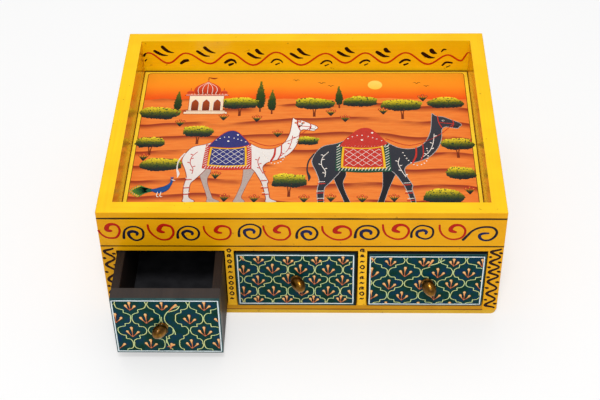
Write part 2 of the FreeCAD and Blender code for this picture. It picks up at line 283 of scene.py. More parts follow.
def ruled_hoop(name, height, width, finish):
    """A painted line right round the box, let into the boards by a hair."""
    bm = bmesh.new()
    rings, walk = [], []
    middle = (BOX_LOW + BOX_HIGH) / 2
    reach = (BOX_HIGH - BOX_LOW) / 2 / MM - Vector((CORNER_ROUND, CORNER_ROUND, 0))
    hand = random.Random(height)
    for across, deep, start in ((1, 1, 0), (-1, 1, 90), (-1, -1, 180), (1, -1, 270)):
        for turn in (0, 30, 60, 90):
            angle = math.radians(start + turn)
            walk.append((Vector((across * reach.x, deep * reach.y)), Vector((math.cos(angle), math.sin(angle)))))
        end, goal = walk[-1][0], Vector((-deep * reach.x, across * reach.y))
        walk += [(end.lerp(goal, part / SIDE_STEPS), walk[-1][1]) for part in range(1, SIDE_STEPS)]
    for centre, outwards in walk:
        half = width / 2 * hand.uniform(*LINE_WOBBLE)
        drift = hand.uniform(-LINE_DRIFT, LINE_DRIFT)
        ring = []
        for out, up in ((-BURIED, -1), (PAINT_THICK, -0.75), (PAINT_THICK, 0.75), (-BURIED, 1)):
            spot = centre + outwards * (CORNER_ROUND + out)
            ring.append(bm.verts.new((spot.x, spot.y, height + drift + up * half)))
        rings.append(ring)
    for here, there in zip(rings, rings[1:] + rings[:1]):
        for one, two in ((0, 1), (1, 2), (2, 3), (3, 0)):
            bm.faces.new((here[one], there[one], there[two], here[two]))
    bmesh.ops.recalc_face_normals(bm, faces=bm.faces)
    bmesh.ops.transform(bm, matrix=Matrix.Translation((middle.x, middle.y, 0)) @ Matrix.Scale(MM, 4), verts=bm.verts)
    mesh = bpy.data.meshes.new(name)
    bm.to_mesh(mesh)
    bm.free()
    return piece(name, mesh, "carcass", finish)


olive = paint_finish("olive_line_paint", rgb(52, 36, 0))
for name, height, width in zip(("lower_ruled_line", "upper_ruled_line"), LINE_HEIGHTS, LINE_WIDTHS):
    ruled_hoop(name, height, width, olive)


# THE SCROLLS
# Between the two lines runs a band of scrolls, red and dark blue in turn, each one stroke of a round
# brush pressed harder at the curl. The band goes on round the sides and the back.

BRUSH_TIP = ((0.5, 0.84), (0.86, 0.4))


def flow(points, steps=5, closed=False):
    """A smooth line through the points; one given twice makes a corner. What follows u and v flows too."""
    count = len(points)
    line = []
    for number in range(count if closed else count - 1):
        near = [number + offset if closed else min(max(number + offset, 0), count - 1) for offset in (-1, 0, 1, 2)]
        before, start, end, after = (Vector(points[spot % count]) for spot in near)
        if (end.xy - start.xy).length < 1e-6:
            continue
        for step in range(steps):
            t = step / steps
            bend = (2 * before - 5 * start + 4 * end - after) * t * t + (3 * start - before - 3 * end + after) * t ** 3
            line.append(tuple((2 * start + (end - before) * t + bend) / 2))
    if not closed:
        line.append(tuple(points[-1]))
    return line


def stroke(points, steps=5):
    """A brush line through (u, v, half width) or (u, v, half width, shade) points, with round tips."""
    line = flow([(*point, 0.5)[:4] for point in points], steps)
    for end, inner in ((0, 1), (-1, -2)):
        u, v, half, shade = line[end]
        run = (Vector((u, v)) - Vector(line[inner][:2])).normalized() * half
        cap = [(u + run.x * far, v + run.y * far, half * share, shade) for far, share in BRUSH_TIP]
        line = cap[::-1] + line if end == 0 else line + cap
    return line


def started(name, inputs):
    """A new Geometry Nodes tree for a drawing, with its named inputs, (label, kind, value) each."""
    tree = bpy.data.node_groups.new(name, "GeometryNodeTree")
    for label, kind, value in (("Drawing", "Geometry", None), *inputs, ("Paint", "Material", None)):
        made = tree.interface.new_socket(label, in_out="INPUT", socket_type=f"NodeSocket{kind}")
        if value is not None:
            made.default_value = value
    tree.interface.new_socket("Mesh", in_out="OUTPUT", socket_type="NodeSocketGeometry")
    return tree, node(tree, "NodeGroupInput").outputs


def ended(tree, shape, finish):
    """The tree, with its shape led out as a plain mesh in its paint."""
    shape = answer(tree, "GeometryNodeRealizeInstances", {0: shape})
    shape = answer(tree, "GeometryNodeSetMaterial", {"Geometry": shape, "Material": finish})
    node(tree, "NodeGroupOutput", {0: shape})
    return tree


def brush_line_tree():
    """Geometry Nodes: low round-topped paint along each chain of edges, as wide as its half_width says."""
    inputs = (("Facets", "Int", 8), ("Roundness", "Float", 0.22), ("Thickest", "Float", 0.13), ("Lift", "Float", 0.0))
    tree, given = started("brush_lines", inputs)
    route = answer(tree, "GeometryNodeMeshToCurve", {"Mesh": given["Drawing"]})
    route = answer(tree, "GeometryNodeSetCurveNormal", {"Curve": route}, mode="Z_UP")
    width = answer(tree, "GeometryNodeInputNamedAttribute", {"Name": "half_width"}, data_type="FLOAT")
    sockets = {"Resolution": given["Facets"], "Radius": 1.0}
    outline = answer(tree, "GeometryNodeCurvePrimitiveCircle", sockets, mode="RADIUS")
    sockets = {"Curve": route, "Profile Curve": outline, "Scale": width, "Fill Caps": True}
    tube = answer(tree, "GeometryNodeCurveToMesh", sockets)
    place = split(tree, answer(tree, "GeometryNodeInputPosition"))
    above = calc(tree, "GREATER_THAN", place[2], -0.01)
    crown = calc(tree, "MULTIPLY", calc(tree, "MAXIMUM", place[2], 0.0), given["Roundness"])
    crown = calc(tree, "ADD", calc(tree, "MINIMUM", crown, given["Thickest"]), given["Lift"])
    height = calc(tree, "MULTIPLY", above, calc(tree, "ADD", crown, BURIED))
    height = calc(tree, "SUBTRACT", height, BURIED)
    flat = answer(tree, "ShaderNodeCombineXYZ", {0: place[0], 1: place[1], 2: height})
    tube = answer(tree, "GeometryNodeSetPosition", {"Geometry": tube, "Position": flat})
    return ended(tree, tube, given["Paint"])


BRUSH_LINES = brush_line_tree()


def grown(tree, drawing, inputs):
    """The plain mesh that a Geometry Nodes tree makes from a drawing."""
    carrier = bpy.data.objects.new(drawing.name, drawing)
    bpy.context.collection.objects.link(carrier)
    modifier = carrier.modifiers.new("grown", "NODES")
    modifier.node_group = tree
    for item in tree.interface.items_tree:
        if item.in_out == "INPUT" and item.name in inputs:
            modifier[item.identifier] = inputs[item.name]
    bpy.context.view_layer.update()
    result = bpy.data.meshes.new_from_object(carrier.evaluated_get(bpy.context.evaluated_depsgraph_get()))
    carrier.modifiers.remove(modifier)
    bpy.data.objects.remove(carrier)
    return result


def chained(name, lines):
    """A drawing of open lines as chains of edges, with each point's half width and shade."""
    spots = [spot for line in lines for spot in line]
    edges, first = [], 0
    for line in lines:
        edges += [(first + step, first + step + 1) for step in range(len(line) - 1)]
        first += len(line)
    drawing = bpy.data.meshes.new(name)
    drawing.from_pydata([(spot[0], spot[1], 0.0) for spot in spots], edges, [])
    for column, attribute in ((2, "half_width"), (3, "shade")):
        drawing.attributes.new(attribute, "FLOAT", "POINT").data.foreach_set("value", [spot[column] for spot in spots])
    return drawing


def raise_shape(bm, outline, shade, top):
    """A closed outline filled in as a thin slab; its shade runs from 0 at its foot to 1 at its head."""
    foot, head = min(spot[1] for spot in outline), max(spot[1] for spot in outline)
    levels = []
    for height in (-BURIED, top):
        ring = [bm.verts.new((spot[0], spot[1], height)) for spot in outline]
        for vert in ring:
            vert[shade] = (vert.co.y - foot) / max(head - foot, 1e-6)
        levels.append(ring)
    lids = [bm.faces.new(ring) for ring in levels]
    for number in range(len(outline)):
        after = (number + 1) % len(outline)
        lids.append(bm.faces.new((levels[0][number], levels[0][after], levels[1][after], levels[1][number])))
    bmesh.ops.recalc_face_normals(bm, faces=lids)
    bmesh.ops.triangulate(bm, faces=lids[:2])


FACE_TURNS = {
    side: Matrix.Rotation(math.radians(turn), 4, "Z") @ Matrix.Rotation(math.radians(90), 4, "X")
    for side, turn in (("front", 0), ("right", 90), ("back", 180), ("left", -90))
}
FACE_TURNS["top"] = Matrix.Identity(4)


def on_face(side, u, v, out):
    """Where a drawing goes: its u runs to the right and its v up, as one who looks at that face sees it."""
    turn = FACE_TURNS[side]
    place = turn @ Vector((u, v, out))
    return Matrix.Translation(place * MM) @ turn @ Matrix.Scale(MM, 4)


def paint(name, finish, place, lines=(), shapes=(), lift=0.0, body="carcass", slot="yellow_painted_wood"):
    """Brush work on one face, in millimetres, as a thin raised piece. lift clears the paint under it."""
    mesh = bpy.data.meshes.new(name)
    if lines:
        mesh = grown(BRUSH_LINES, chained(name, lines), {"Lift": lift, "Paint": finish})
        mesh.polygons.foreach_set("use_smooth", [True] * len(mesh.polygons))
    if shapes:
        bm = bmesh.new()
        bm.from_mesh(mesh)
        shade = bm.verts.layers.float.get("shade") or bm.verts.layers.float.new("shade")
        for outline in shapes:
            raise_shape(bm, outline, shade, lift + PAINT_THICK)
        bm.to_mesh(mesh)
        bm.free()
    mesh.name = name
    mesh.transform(place)
    return piece(name, mesh, body, finish)


RED_SCROLL = (
    (-8.8, 7.2, 0.65), (-8.2, 2.1, 0.7), (-6.1, -3.0, 0.65), (-2.3, -6.6, 0.65), (1.6, -7.7, 0.7),
    (5.8, -6.6, 0.75), (8.4, -2.8, 0.75), (8.9, 1.4, 0.75), (7.6, 5.2, 0.8), (4.6, 7.2, 1.0),
    (1.4, 7.0, 1.2), (-0.7, 4.6, 1.4), (-0.9, 1.9, 1.45), (0.5, 0.5, 1.2), (2.2, 0.1, 0.9),
)
BLUE_SCROLL = (
    (-8.0, -5.1, 0.9), (-8.0, -1.0, 0.8), (-6.7, 3.2, 0.7), (-3.7, 6.3, 0.68), (-0.2, 7.5, 0.68),
    (3.8, 6.9, 0.68), (7.3, 4.1, 0.72), (8.2, 0.0, 0.75), (6.8, -4.7, 0.75), (3.3, -7.2, 0.72),
    (-0.7, -6.5, 0.75), (-3.5, -3.3, 0.95), (-3.7, 0.4, 1.1), (-1.4, 2.2, 1.2), (1.3, 2.1, 1.15),
    (3.0, 0.4, 1.05), (2.8, -1.4, 0.8),
)
LAST_BLUE_SCROLL = (
    (-12.5, -6.2, 0.95), (-9.6, -1.8, 0.85), (-6.2, 3.0, 0.75), (-1.0, 6.2, 0.75), (4.6, 7.0, 0.75),
    (9.2, 5.9, 0.75), (11.9, 2.2, 0.8), (11.0, -2.6, 0.85), (7.6, -6.2, 0.8), (3.4, -6.8, 0.75),
    (0.2, -4.8, 0.95), (-0.6, -1.6, 1.0), (1.6, 0.2, 0.95), (5.8, 0.5, 0.7),
)
SCROLL_NOMINAL = 17.6
RED_SCROLLS = ((-144.5, 89.0), (-105.2, 88.0), (-62.6, 87.4), (-18.2, 87.5), (26.5, 87.4), (70.3, 88.6), (112.4, 88.5))
RED_WIDTHS = (16.8, 18.4, 19.8, 19.5, 21.3, 19.1, 19.3)
BLUE_SCROLLS = ((-125.9, 86.6), (-84.8, 86.9), (-38.5, 88.7), (4.2, 87.0), (48.9, 87.9), (90.2, 88.2))
BLUE_WIDTHS = (16.3, 17.6, 18.0, 16.4, 18.6, 17.8)
BLUE_DEPTHS = (0.3, 0.25, 0.9, 1.0, 0.65, 0.85)
LAST_BLUE_AT, LAST_BLUE_FULLNESS = (133.6, 86.9), 1.25
SCROLL_PITCH, SCROLL_MIDDLE, SIDE_SCROLL_STRETCH = 43.0, 87.8, (1.06, 0.96)
EDGE_MARGIN = 0.6
SHAKE = 0.25
CUTTING_STEPS = 14
hand = random.Random(11)


def moved(points, u, v, wide=1.0, high=1.0):
    """A drawing's points, stretched and set down somewhere else."""
    return [(u + point[0] * wide, v + point[1] * high, *point[2:]) for point in points]


def shaken(points, amount):
    """The points as an unsteady hand sets them."""
    return [(point[0] + hand.uniform(-amount, amount), point[1] + hand.uniform(-amount, amount), *point[2:])
            for point in points]


def bolder(points, share):
    """The same stroke with a fuller brush."""
    return [(*point[:2], point[2] * share, *point[3:]) for point in points]


def inked(points, depth=0.8):
    """The same stroke, near black at its start and bluer towards its curl, as blue as depth says."""
    last = len(points) - 1
    return [(*point[:3], depth * max(0.0, min(1.0, number / last * 3 - 1.6))) for number, point in enumerate(points)]


def inside_only(line, low, high):
    """The stretches of a line between two corners, cut clean where it crosses the edge."""
    def within(spot):
        return low[0] <= spot[0] <= high[0] and low[1] <= spot[1] <= high[1]

    def crossing(inner, outer):
        for _ in range(CUTTING_STEPS):
            halfway = tuple((one + two) / 2 for one, two in zip(inner, outer))
            inner, outer = (halfway, outer) if within(halfway) else (inner, halfway)
        return inner

    runs, run = [], []
    for here, there in zip(line, line[1:]):
        if within(here):
            run.append(here)
            if not within(there):
                runs.append(run + [crossing(here, there)])
                run = []
        elif within(there):
            run = [crossing(there, here)]
    if run:
        runs.append(run + [line[-1]])
    return [run for run in runs if len(run) > 2]


def wavy(turns, across=False, steps=8):
    """A rounded wave through its turning points, (u, v, half width) each; across for one that runs down."""
    line = []
    for here, there in zip(turns, turns[1:]):
        for step in range(steps):
            share = step / steps
            swing = (1 - math.cos(math.pi * share)) / 2
            u, v = (swing, share) if across else (share, swing)
            line.append((here[0] + (there[0] - here[0]) * u, here[1] + (there[1] - here[1]) * v,
                         here[2] + (there[2] - here[2]) * share))
    return line + [turns[-1]]


scroll_red = paint_finish("scroll_red", rgb(186, 26, 6), rough=0.42)
scroll_blue = paint_finish("scroll_blue", rgb(22, 22, 34), rgb(20, 34, 84), rough=0.42)
front_face = on_face("front", 0, 0, -BOX_LOW.y / MM)
half_front = BOX_HIGH.x / MM - EDGE_MARGIN
reds = []
for (u, v), width in zip(RED_SCROLLS, RED_WIDTHS):
    points = moved(shaken(RED_SCROLL, SHAKE), u, v, width / SCROLL_NOMINAL, hand.uniform(0.9, 1.02))
    line = stroke(bolder(points, hand.uniform(1.1, 1.35)))
    reds += inside_only(line, (-half_front, 0), (half_front, BOX_HIGH.z / MM))
blues = []
for (u, v), width, depth in zip(BLUE_SCROLLS, BLUE_WIDTHS, BLUE_DEPTHS):
    points = moved(shaken(BLUE_SCROLL, SHAKE), u, v, width / SCROLL_NOMINAL, hand.uniform(0.9, 0.98))
    blues.append(stroke(inked(bolder(points, hand.uniform(1.15, 1.4)), depth)))
blues.append(stroke(inked(bolder(moved(LAST_BLUE_SCROLL, *LAST_BLUE_AT), LAST_BLUE_FULLNESS))))
paint("front_red_scrolls", scroll_red, front_face, reds)
paint("front_blue_scrolls", scroll_blue, front_face, blues)
SIDE_SCROLLS = (("red", RED_SCROLL, scroll_red, -0.26), ("blue", BLUE_SCROLL, scroll_blue, 0.24))
OTHER_SIDES = (("right", BOX_HIGH.x, BOX_HIGH.y), ("left", -BOX_LOW.x, BOX_HIGH.y), ("back", BOX_HIGH.y, BOX_HIGH.x))
for side, reach, half in OTHER_SIDES:
    count = int(2 * half / MM / SCROLL_PITCH)
    face = on_face(side, 0, 0, reach / MM)
    for label, shape, finish, shift in SIDE_SCROLLS:
        lines = []
        for number in range(count):
            at = (number - (count - 1) / 2 + shift) * SCROLL_PITCH
            points = moved(shaken(shape, SHAKE), at, SCROLL_MIDDLE, *SIDE_SCROLL_STRETCH)
            lines.append(stroke(inked(bolder(points, hand.uniform(1.1, 1.4)))))
        paint(f"{side}_{label}_scrolls", finish, face, lines)


# THE FRONT EDGES
# The sides' front edges carry a black wavy line with a dot in each hollow, and the dividers' edges a
# column of small black rings and squiggles. Both are freehand, with a fine brush, and thickest at the turns.

black_paint = paint_finish("soft_black_paint", rgb(42, 14, 2), rough=0.45)
EDGE_TURNS = {
    -1: ((67.8, 53.6, 37.4, 22.6, 9.4), (70.6, 60.4, 46.2, 30.5, 16.3, 5.6)),
    1: ((68.2, 57.1, 46.2, 35.7, 22.3, 9.1), (71.0, 62.4, 51.7, 42.1, 28.7, 16.3, 6.8)),
}
WAVE_REACH, OUTER_BRUSH, INNER_BRUSH = 3.5, 0.85, 1.3
SMEAR = ((-0.9, 0.25, 0.8), (0, 0, 1.25), (0.8, -0.15, 0.8))
INSIDE_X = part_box("right_side_panel")[0].x / MM
edge_lines = []
for side, (inward, outward) in EDGE_TURNS.items():
    turns = [(WAVE_REACH, height, OUTER_BRUSH) for height in outward]
    for number, height in enumerate(inward):
        turns.insert(2 * number + 1, (-WAVE_REACH, height, INNER_BRUSH))
    centre = side * (BOX_HIGH.x / MM + INSIDE_X) / 2
    edge_lines.append(stroke(moved(wavy(shaken(turns, 0.3), True), centre, 0), 1))
    for before, after in zip(turns, turns[2:]):
        u, v = before[0] * 1.08, (before[1] + after[1]) / 2 - 0.2
        edge_lines.append(stroke(moved(shaken(moved(SMEAR, u, v), 0.15), centre, 0)))
RING = ((-1.2, 0.3, 0.5), (0.1, 1.4, 0.65), (1.3, 0.2, 0.6), (0.3, -1.4, 0.65), (-1.1, -0.5, 0.5), (-1.2, 0.3, 0.5))
TAILED = ((-1.1, -0.9, 0.5), (-1.1, 0.6, 0.6), (0.1, 1.3, 0.75), (0.9, 0.5, 0.6), (-0.2, -0.5, 0.6), (1.5, -1.0, 0.35))
LEAF_PAIR = ((-1.5, -0.5, 0.35), (-0.5, 0.6, 0.75), (0.4, -0.1, 0.7), (1.5, 0.5, 0.35))
MARKS = {
    "left_divider": (RING, TAILED, RING, TAILED, LEAF_PAIR, RING, RING, RING, RING, LEAF_PAIR),
    "right_divider": (TAILED, TAILED, LEAF_PAIR, RING, LEAF_PAIR, TAILED, LEAF_PAIR, TAILED, RING, LEAF_PAIR),
}
MARK_TOP, MARK_PITCH, MARK_SHIFT = 68.9, 5.85, -0.1
for divider, marks in MARKS.items():
    low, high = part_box(divider)
    centre = (low.x + high.x) / 2 / MM + MARK_SHIFT
    for number, mark in enumerate(marks):
        size = hand.uniform(1.02, 1.25)
        edge_lines.append(stroke(moved(shaken(mark, 0.22), centre, MARK_TOP - number * MARK_PITCH, size, size)))
paint("black_edge_waves", black_paint, front_face, edge_lines)
SEAM_HALF, SEAM_STEP = 0.48, 6
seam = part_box("base_board")[1].z / MM
half_seam = int(INSIDE_X)
seam_line = [(u, seam, SEAM_HALF + 0.1 * math.sin(u)) for u in range(-half_seam, half_seam + 1, SEAM_STEP)]
paint("bay_floor_joint", paint_finish("joint_brown", rgb(120, 66, 8)), front_face, [stroke(seam_line, 2)])


# THE TRAY'S BACK WALL
# A red wave runs the length of the inner back wall, with two slanting black leaves over each hollow
# and a black arch with a dash under each crest.

WALL_TURNS = (
    (-136.4, 95.7), (-119.9, 84.6), (-103.9, 95.3), (-83.4, 84.0), (-65.8, 95.6), (-45.6, 82.4), (-25.4, 96.1),
    (-4.0, 82.4), (17.6, 94.8), (34.5, 84.6), (51.8, 95.3), (69.0, 84.5), (86.5, 95.5), (106.4, 83.2),
    (123.2, 93.0), (134.8, 86.9),
)
WAVE_ENDS = [(-138.6, 95.0, 0.6), (140.7, 95.6, 0.6)]
LEAF_PAIRS = (
    (-5.3, 1.0, 1.05, 1.2), (-5.0, 0.92, 1.0, 1.2), (1.6, 0.66, 1.1, 0.6), (-3.3, 1.0, 1.05, 0.4),
    (-0.9, 0.72, 1.1, 0.0), (-2.0, 0.45, 1.25, 0.0), (0.1, 0.52, 1.3, 0.0),
)
LEAF_WAIST = (2.6, 13.0)
UPPER_LEAF = ((1.4, 16.4, 1.5), (3.5, 13.6, 1.55), (6.5, 11.2, 1.15), (11.0, 9.9, 0.35))
LOWER_LEAF = ((-5.4, 11.9, 1.2), (-2.7, 9.9, 1.4), (0.9, 7.6, 1.1), (5.2, 6.9, 0.4))
ARCH = ((-4.5, -10.8, 0.9), (-1.8, -8.4, 1.1), (1.2, -7.7, 1.05), (3.8, -8.7, 0.9), (5.2, -10.8, 0.6))
ARCH_DASH = ((-0.6, -13.0, 0.75), (2.4, -11.5, 0.55))
ARCH_HANDS = (
    (1.45, 3, 0.0), (1.3, 5, 1.8), (0.8, 5, 1.0), (0.85, 5, 0.9), (0.95, 4, 1.0), (1.1, 4, 1.4), (0.95, 4, 0.8),
)
CORNER_TICKS = (
    ((-140.4, 92.3, 0.9), (-139.6, 94.0, 1.0), (-138.1, 95.2, 0.6)), ((-139.9, 87.0, 0.7), (-138.3, 88.9, 0.45)),
    ((117.3, 96.3, 0.5), (118.9, 98.6, 0.9), (121.1, 98.8, 0.6)),
)
INSIDE_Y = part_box("back_panel")[0].y / MM
wall_face = on_face("front", 0, 0, -INSIDE_Y)
wave = [(*turn, 0.95 if number % 2 else 0.8) for number, turn in enumerate(WALL_TURNS)]
wave = WAVE_ENDS[:1] + wave + WAVE_ENDS[1:]
paint("wall_red_wave", paint_finish("wave_red", rgb(206, 58, 8)), wall_face, [stroke(wavy(wave), 1)])
leaves = [stroke(tick) for tick in CORNER_TICKS]
for (u, v), (shift, length, fullness, rise) in zip(WALL_TURNS[1::2], LEAF_PAIRS):
    about = (LEAF_WAIST[0] * (1 - length), LEAF_WAIST[1] * (1 - length))
    for leaf in (moved(shaken(UPPER_LEAF, SHAKE), *about, length, length), shaken(LOWER_LEAF, SHAKE)):
        leaves.append(stroke(bolder(moved(leaf, u + shift, v + rise), fullness)))
for (u, v), (fullness, kept, dash) in zip(WALL_TURNS[2::2], ARCH_HANDS):
    leaves.append(stroke(bolder(moved(shaken(ARCH, SHAKE)[:kept], u, v), fullness)))
    dash_points = moved(shaken(ARCH_DASH, 0.2), u, v)
    if dash:
        leaves.append(stroke(bolder(dash_points, dash)))
paint("wall_black_leaves", black_paint, wall_face, leaves)


# THE TRAY'S PICTURE GROUND
# The tray floor is one board. A yellow band frames a desert evening, wiped on in oranges while wet: a
# sky that deepens to the horizon and sand with brown-edged dunes. Varnish gives it a low gloss.

FLOOR_BAND, BAND_ROUND = 3.6, 3.0
HORIZON, HORIZON_SOFTNESS, HORIZON_SWAY = 62.0, 0.6, 10.5
DUNE_SPACING, DUNE_DEPTH, DUNE_SWAY = 0.019, 0.46, 0.05
SKY = ((0.0, rgb(230, 84, 20)), (0.12, rgb(238, 100, 24)), (0.45, rgb(246, 144, 32)), (1.0, rgb(242, 170, 42)))
SAND = ((0.25, rgb(226, 114, 42)), (0.75, rgb(240, 138, 58)))
DUNE_BROWN = rgb(150, 52, 26)


def desert_board():
    """The tray floor's paint: yellow outside the picture's round-cornered edge, the desert inside it."""
    # Painted light: the yellow band round the picture is a lighter lemon than the rims, where the tray's walls shade
    # it.
    material, tree, shader, yellow = brushed_wood("desert_board", rgb(255, 224, 60), AMBER, "X")
    place = split(tree, stretched(tree, (1, 1, 1)))
    wobble = noise(tree, stretched(tree, (1, 1, 1)), 26.0, 3.0, 0.5)
    sway = calc(tree, "MULTIPLY", calc(tree, "SUBTRACT", wobble, 0.5), HORIZON_SWAY * MM)
    height = calc(tree, "ADD", place[1], sway)
    sky_factor = answer(tree, "ShaderNodeMapRange", {0: height, 1: HORIZON * MM, 2: INSIDE_Y * MM})
    rolling = calc(tree, "MULTIPLY", noise(tree, stretched(tree, (9, 3, 1)), 1.0, 2.0, 0.4), DUNE_SWAY)
    sheet = calc(tree, "FRACT", calc(tree, "MULTIPLY", calc(tree, "ADD", place[1], rolling), -1 / DUNE_SPACING))
    dune_fade = calc(tree, "MULTIPLY", band(tree, sheet, DUNE_DEPTH, 0.06), band(tree, sheet, 0.0, 0.05))
    patchy = band(tree, noise(tree, stretched(tree, (16, 44, 1)), 1.0, 3.0, 0.5), 0.34, 0.5)
    sand = graded(tree, noise(tree, stretched(tree, (60, 420, 1)), 1.0, 4.0, 0.6), SAND)
    sand = blend_colours(tree, calc(tree, "MULTIPLY", dune_fade, patchy), sand, DUNE_BROWN)
    above = band(tree, height, (HORIZON - HORIZON_SOFTNESS) * MM, (HORIZON + HORIZON_SOFTNESS) * MM)
    picture = blend_colours(tree, above, sand, graded(tree, sky_factor, SKY))
    squares = []
    for axis, inside in enumerate((INSIDE_X, INSIDE_Y)):
        reach = (inside - FLOOR_BAND - BAND_ROUND) * MM
        beyond = calc(tree, "MAXIMUM", calc(tree, "SUBTRACT", calc(tree, "ABSOLUTE", place[axis]), reach), 0.0)
        squares.append(calc(tree, "MULTIPLY", beyond, beyond))
    beyond = calc(tree, "SQRT", calc(tree, "ADD", *squares))
    outside = band(tree, beyond, (BAND_ROUND - 0.1) * MM, (BAND_ROUND + 0.1) * MM)
    tree.links.new(blend_colours(tree, outside, picture, yellow), shader.inputs["Base Color"])
    return material


repaint(["tray_floor_panel"], desert_board())
TRAY_FACE = on_face("top", 0, 0, (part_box("tray_floor_panel")[1] / MM).z)


def on_tray(name, finish, lines=(), shapes=(), lift=0.0):
    """Brush work on the tray's floor."""
    return paint(name, finish, TRAY_FACE, lines, shapes, lift)


def framed(inset, corner, half, steps=6):
    """A round-cornered rectangle of a line, inset from the tray's walls."""
    reach = (INSIDE_X - inset - corner, INSIDE_Y - inset - corner)
    line = []
    for across, deep, start in ((1, 1, 0), (-1, 1, 90), (-1, -1, 180), (1, -1, 270)):
        for step in range(steps + 1):
            angle = math.radians(start + 90 * step / steps)
            u, v = across * reach[0] + corner * math.cos(angle), deep * reach[1] + corner * math.sin(angle)
            line.append((u, v, half, 0.5))
    return line + line[:2]


corner_brown = paint_finish("corner_shadow_brown", rgb(92, 56, 8))
back_line = stroke([(share * (INSIDE_X - 0.6), INSIDE_Y - 0.95, 0.85) for share in (-1, -0.5, 0, 0.5, 1)], 6)
edge_line = framed(FLOOR_BAND, BAND_ROUND, 0.28)
on_tray("picture_edge_line", paint_finish("picture_edge_brown", rgb(132, 74, 12)), [edge_line])
on_tray("tray_corner_line", corner_brown, [framed(0.25, 0.3, 0.34, 2)])
on_tray("tray_back_line", corner_brown, [back_line], lift=0.02)


# THE PICTURE'S TREES
# Small round-headed trees and slim cypresses fill the made-up desert, each a dark brushed crown with
# leaf touches over it, near black below and yellow above, on thin brown trunks.

CROWN_GROWTH, CROWN_SQUARENESS, CROWN_FALL = 1.2, 0.72, 0.72


def crown(u, v, wide, high):
    """The bumpy outline of a small tree's crown, flatter underneath."""
    outline = []
    for turn in range(0, 360, 24):
        angle = math.radians(turn)
        bulge = hand.uniform(0.88, 1.1)
        fall = CROWN_FALL if math.sin(angle) < 0 else 1.0
        round_point = (math.cos(angle), math.sin(angle))
        across, up = (math.copysign(abs(part) ** CROWN_SQUARENESS, part) for part in round_point)
        outline.append((u + across * wide / 2 * bulge, v + up * high / 2 * bulge * fall))
    return flow(outline, 4, True)


def leaf_dab_tree():
    """Geometry Nodes: touches of paint strewn over flat crowns, each in the crown's shade where it lies."""
    inputs = (("Touches", "Float", 1.5), ("Seed", "Int", 4), ("Smallest", "Float", 0.55), ("Largest", "Float", 1.1))
    tree, given = started("leaf_dabs", inputs)
    sockets = {"Mesh": given["Drawing"], "Density": given["Touches"], "Seed": given["Seed"]}
    spots = answer(tree, "GeometryNodeDistributePointsOnFaces", sockets, distribute_method="RANDOM")
    sockets = {"Vertices": 7, "Radius Top": 0.25, "Radius Bottom": 1.0, "Depth": 0.16}
    dab = answer(tree, "GeometryNodeMeshCone", sockets)
    sockets = {2: given["Smallest"], 3: given["Largest"], "Seed": given["Seed"]}
    size = node(tree, "FunctionNodeRandomValue", sockets, data_type="FLOAT").outputs[1]
    turn = node(tree, "FunctionNodeRandomValue", {2: 0.0, 3: math.tau, "Seed": 9}, data_type="FLOAT").outputs[1]
    rotation = answer(tree, "ShaderNodeCombineXYZ", {2: turn})
    sockets = {"Points": spots, "Instance": dab, "Scale": size, "Rotation": rotation}
    return ended(tree, answer(tree, "GeometryNodeInstanceOnPoints", sockets), given["Paint"])


LEAF_DABS = leaf_dab_tree()


def leafy(name, outlines, finish, seed):
    """Leaf touches over tree crowns, dark below and sunlit above."""
    spots, faces = [], []
    for outline in outlines:
        first, count = len(spots), len(outline)
        foot, head = min(spot[1] for spot in outline), max(spot[1] for spot in outline)
        centre = tuple(sum(spot[axis] for spot in outline) / count for axis in (0, 1))
        for u, v in [centre] + [tuple(spot) for spot in outline]:
            spots.append((u, v, (v - foot) / (head - foot)))
        faces += [(first, first + 1 + step, first + 1 + (step + 1) % count) for step in range(count)]
    drawing = bpy.data.meshes.new(name)
    drawing.from_pydata([(u, v, 0.03) for u, v, shade in spots], [], faces)
    drawing.attributes.new("shade", "FLOAT", "POINT").data.foreach_set("value", [shade for u, v, shade in spots])
    mesh = grown(LEAF_DABS, drawing, {"Seed": seed, "Paint": finish})
    mesh.name = name
    mesh.transform(TRAY_FACE)
    return piece(name, mesh, "carcass", finish)


trunk_brown = paint_finish("trunk_brown", rgb(122, 50, 24))
shrub_dark = paint_finish("crown_shadow", rgb(20, 46, 40), rgb(34, 70, 40))
LEAF_TONES = (rgb(24, 28, 34), rgb(34, 42, 36), rgb(78, 90, 24), rgb(188, 172, 28), rgb(240, 212, 46))
leaf_green = paint_finish("leaf_green", *LEAF_TONES)
ROUND_TREES = (
    (8, 55, 27, 14), (47, 58, 24, 13), (82, 53, 28, 15), (119, 56, 24, 13), (-55, 56, 26, 14), (-122, 42, 27, 15),
    (-126, 4, 20, 13), (-115, -24, 26, 15), (125, 2, 22, 14), (126, -34, 20, 14), (-11, -44, 23, 15), (3, 6, 15, 10),
    (-88, 18, 21, 13), (110, -62, 25, 15),
)
CYPRESSES = ((-38, 50, 7.5, 36), (-28, 47, 6.5, 27), (29, 55, 6.0, 24), (-108, 48, 6.0, 25))
SPINDLE = (
    (0, -0.02), (0.36, 0.06), (0.5, 0.25), (0.42, 0.5), (0.22, 0.78), (0.0, 1.0), (0.0, 1.0), (-0.24, 0.76),
    (-0.44, 0.48), (-0.5, 0.24), (-0.34, 0.06),
)
FORKED_TRUNK = ((3.4, -0.2, 0.4), (1.2, -0.7, 0.5), (1.0, -1.15, 0.65))
SPINDLE_TRUNK = ((0, 1, 0.6), (0.2, -4.5, 0.75))
TRUNK_LEANS = (-0.5, 0.6)
crowns = [crown(u, v, wide * CROWN_GROWTH, high * CROWN_GROWTH) for u, v, wide, high in ROUND_TREES]
spindles = [flow(moved(shaken(SPINDLE, 0.02), *place), 4, True) for place in CYPRESSES]
trunks = [stroke(moved(FORKED_TRUNK, u, v, lean, high))
          for u, v, wide, high in ROUND_TREES[::2] for lean in TRUNK_LEANS]
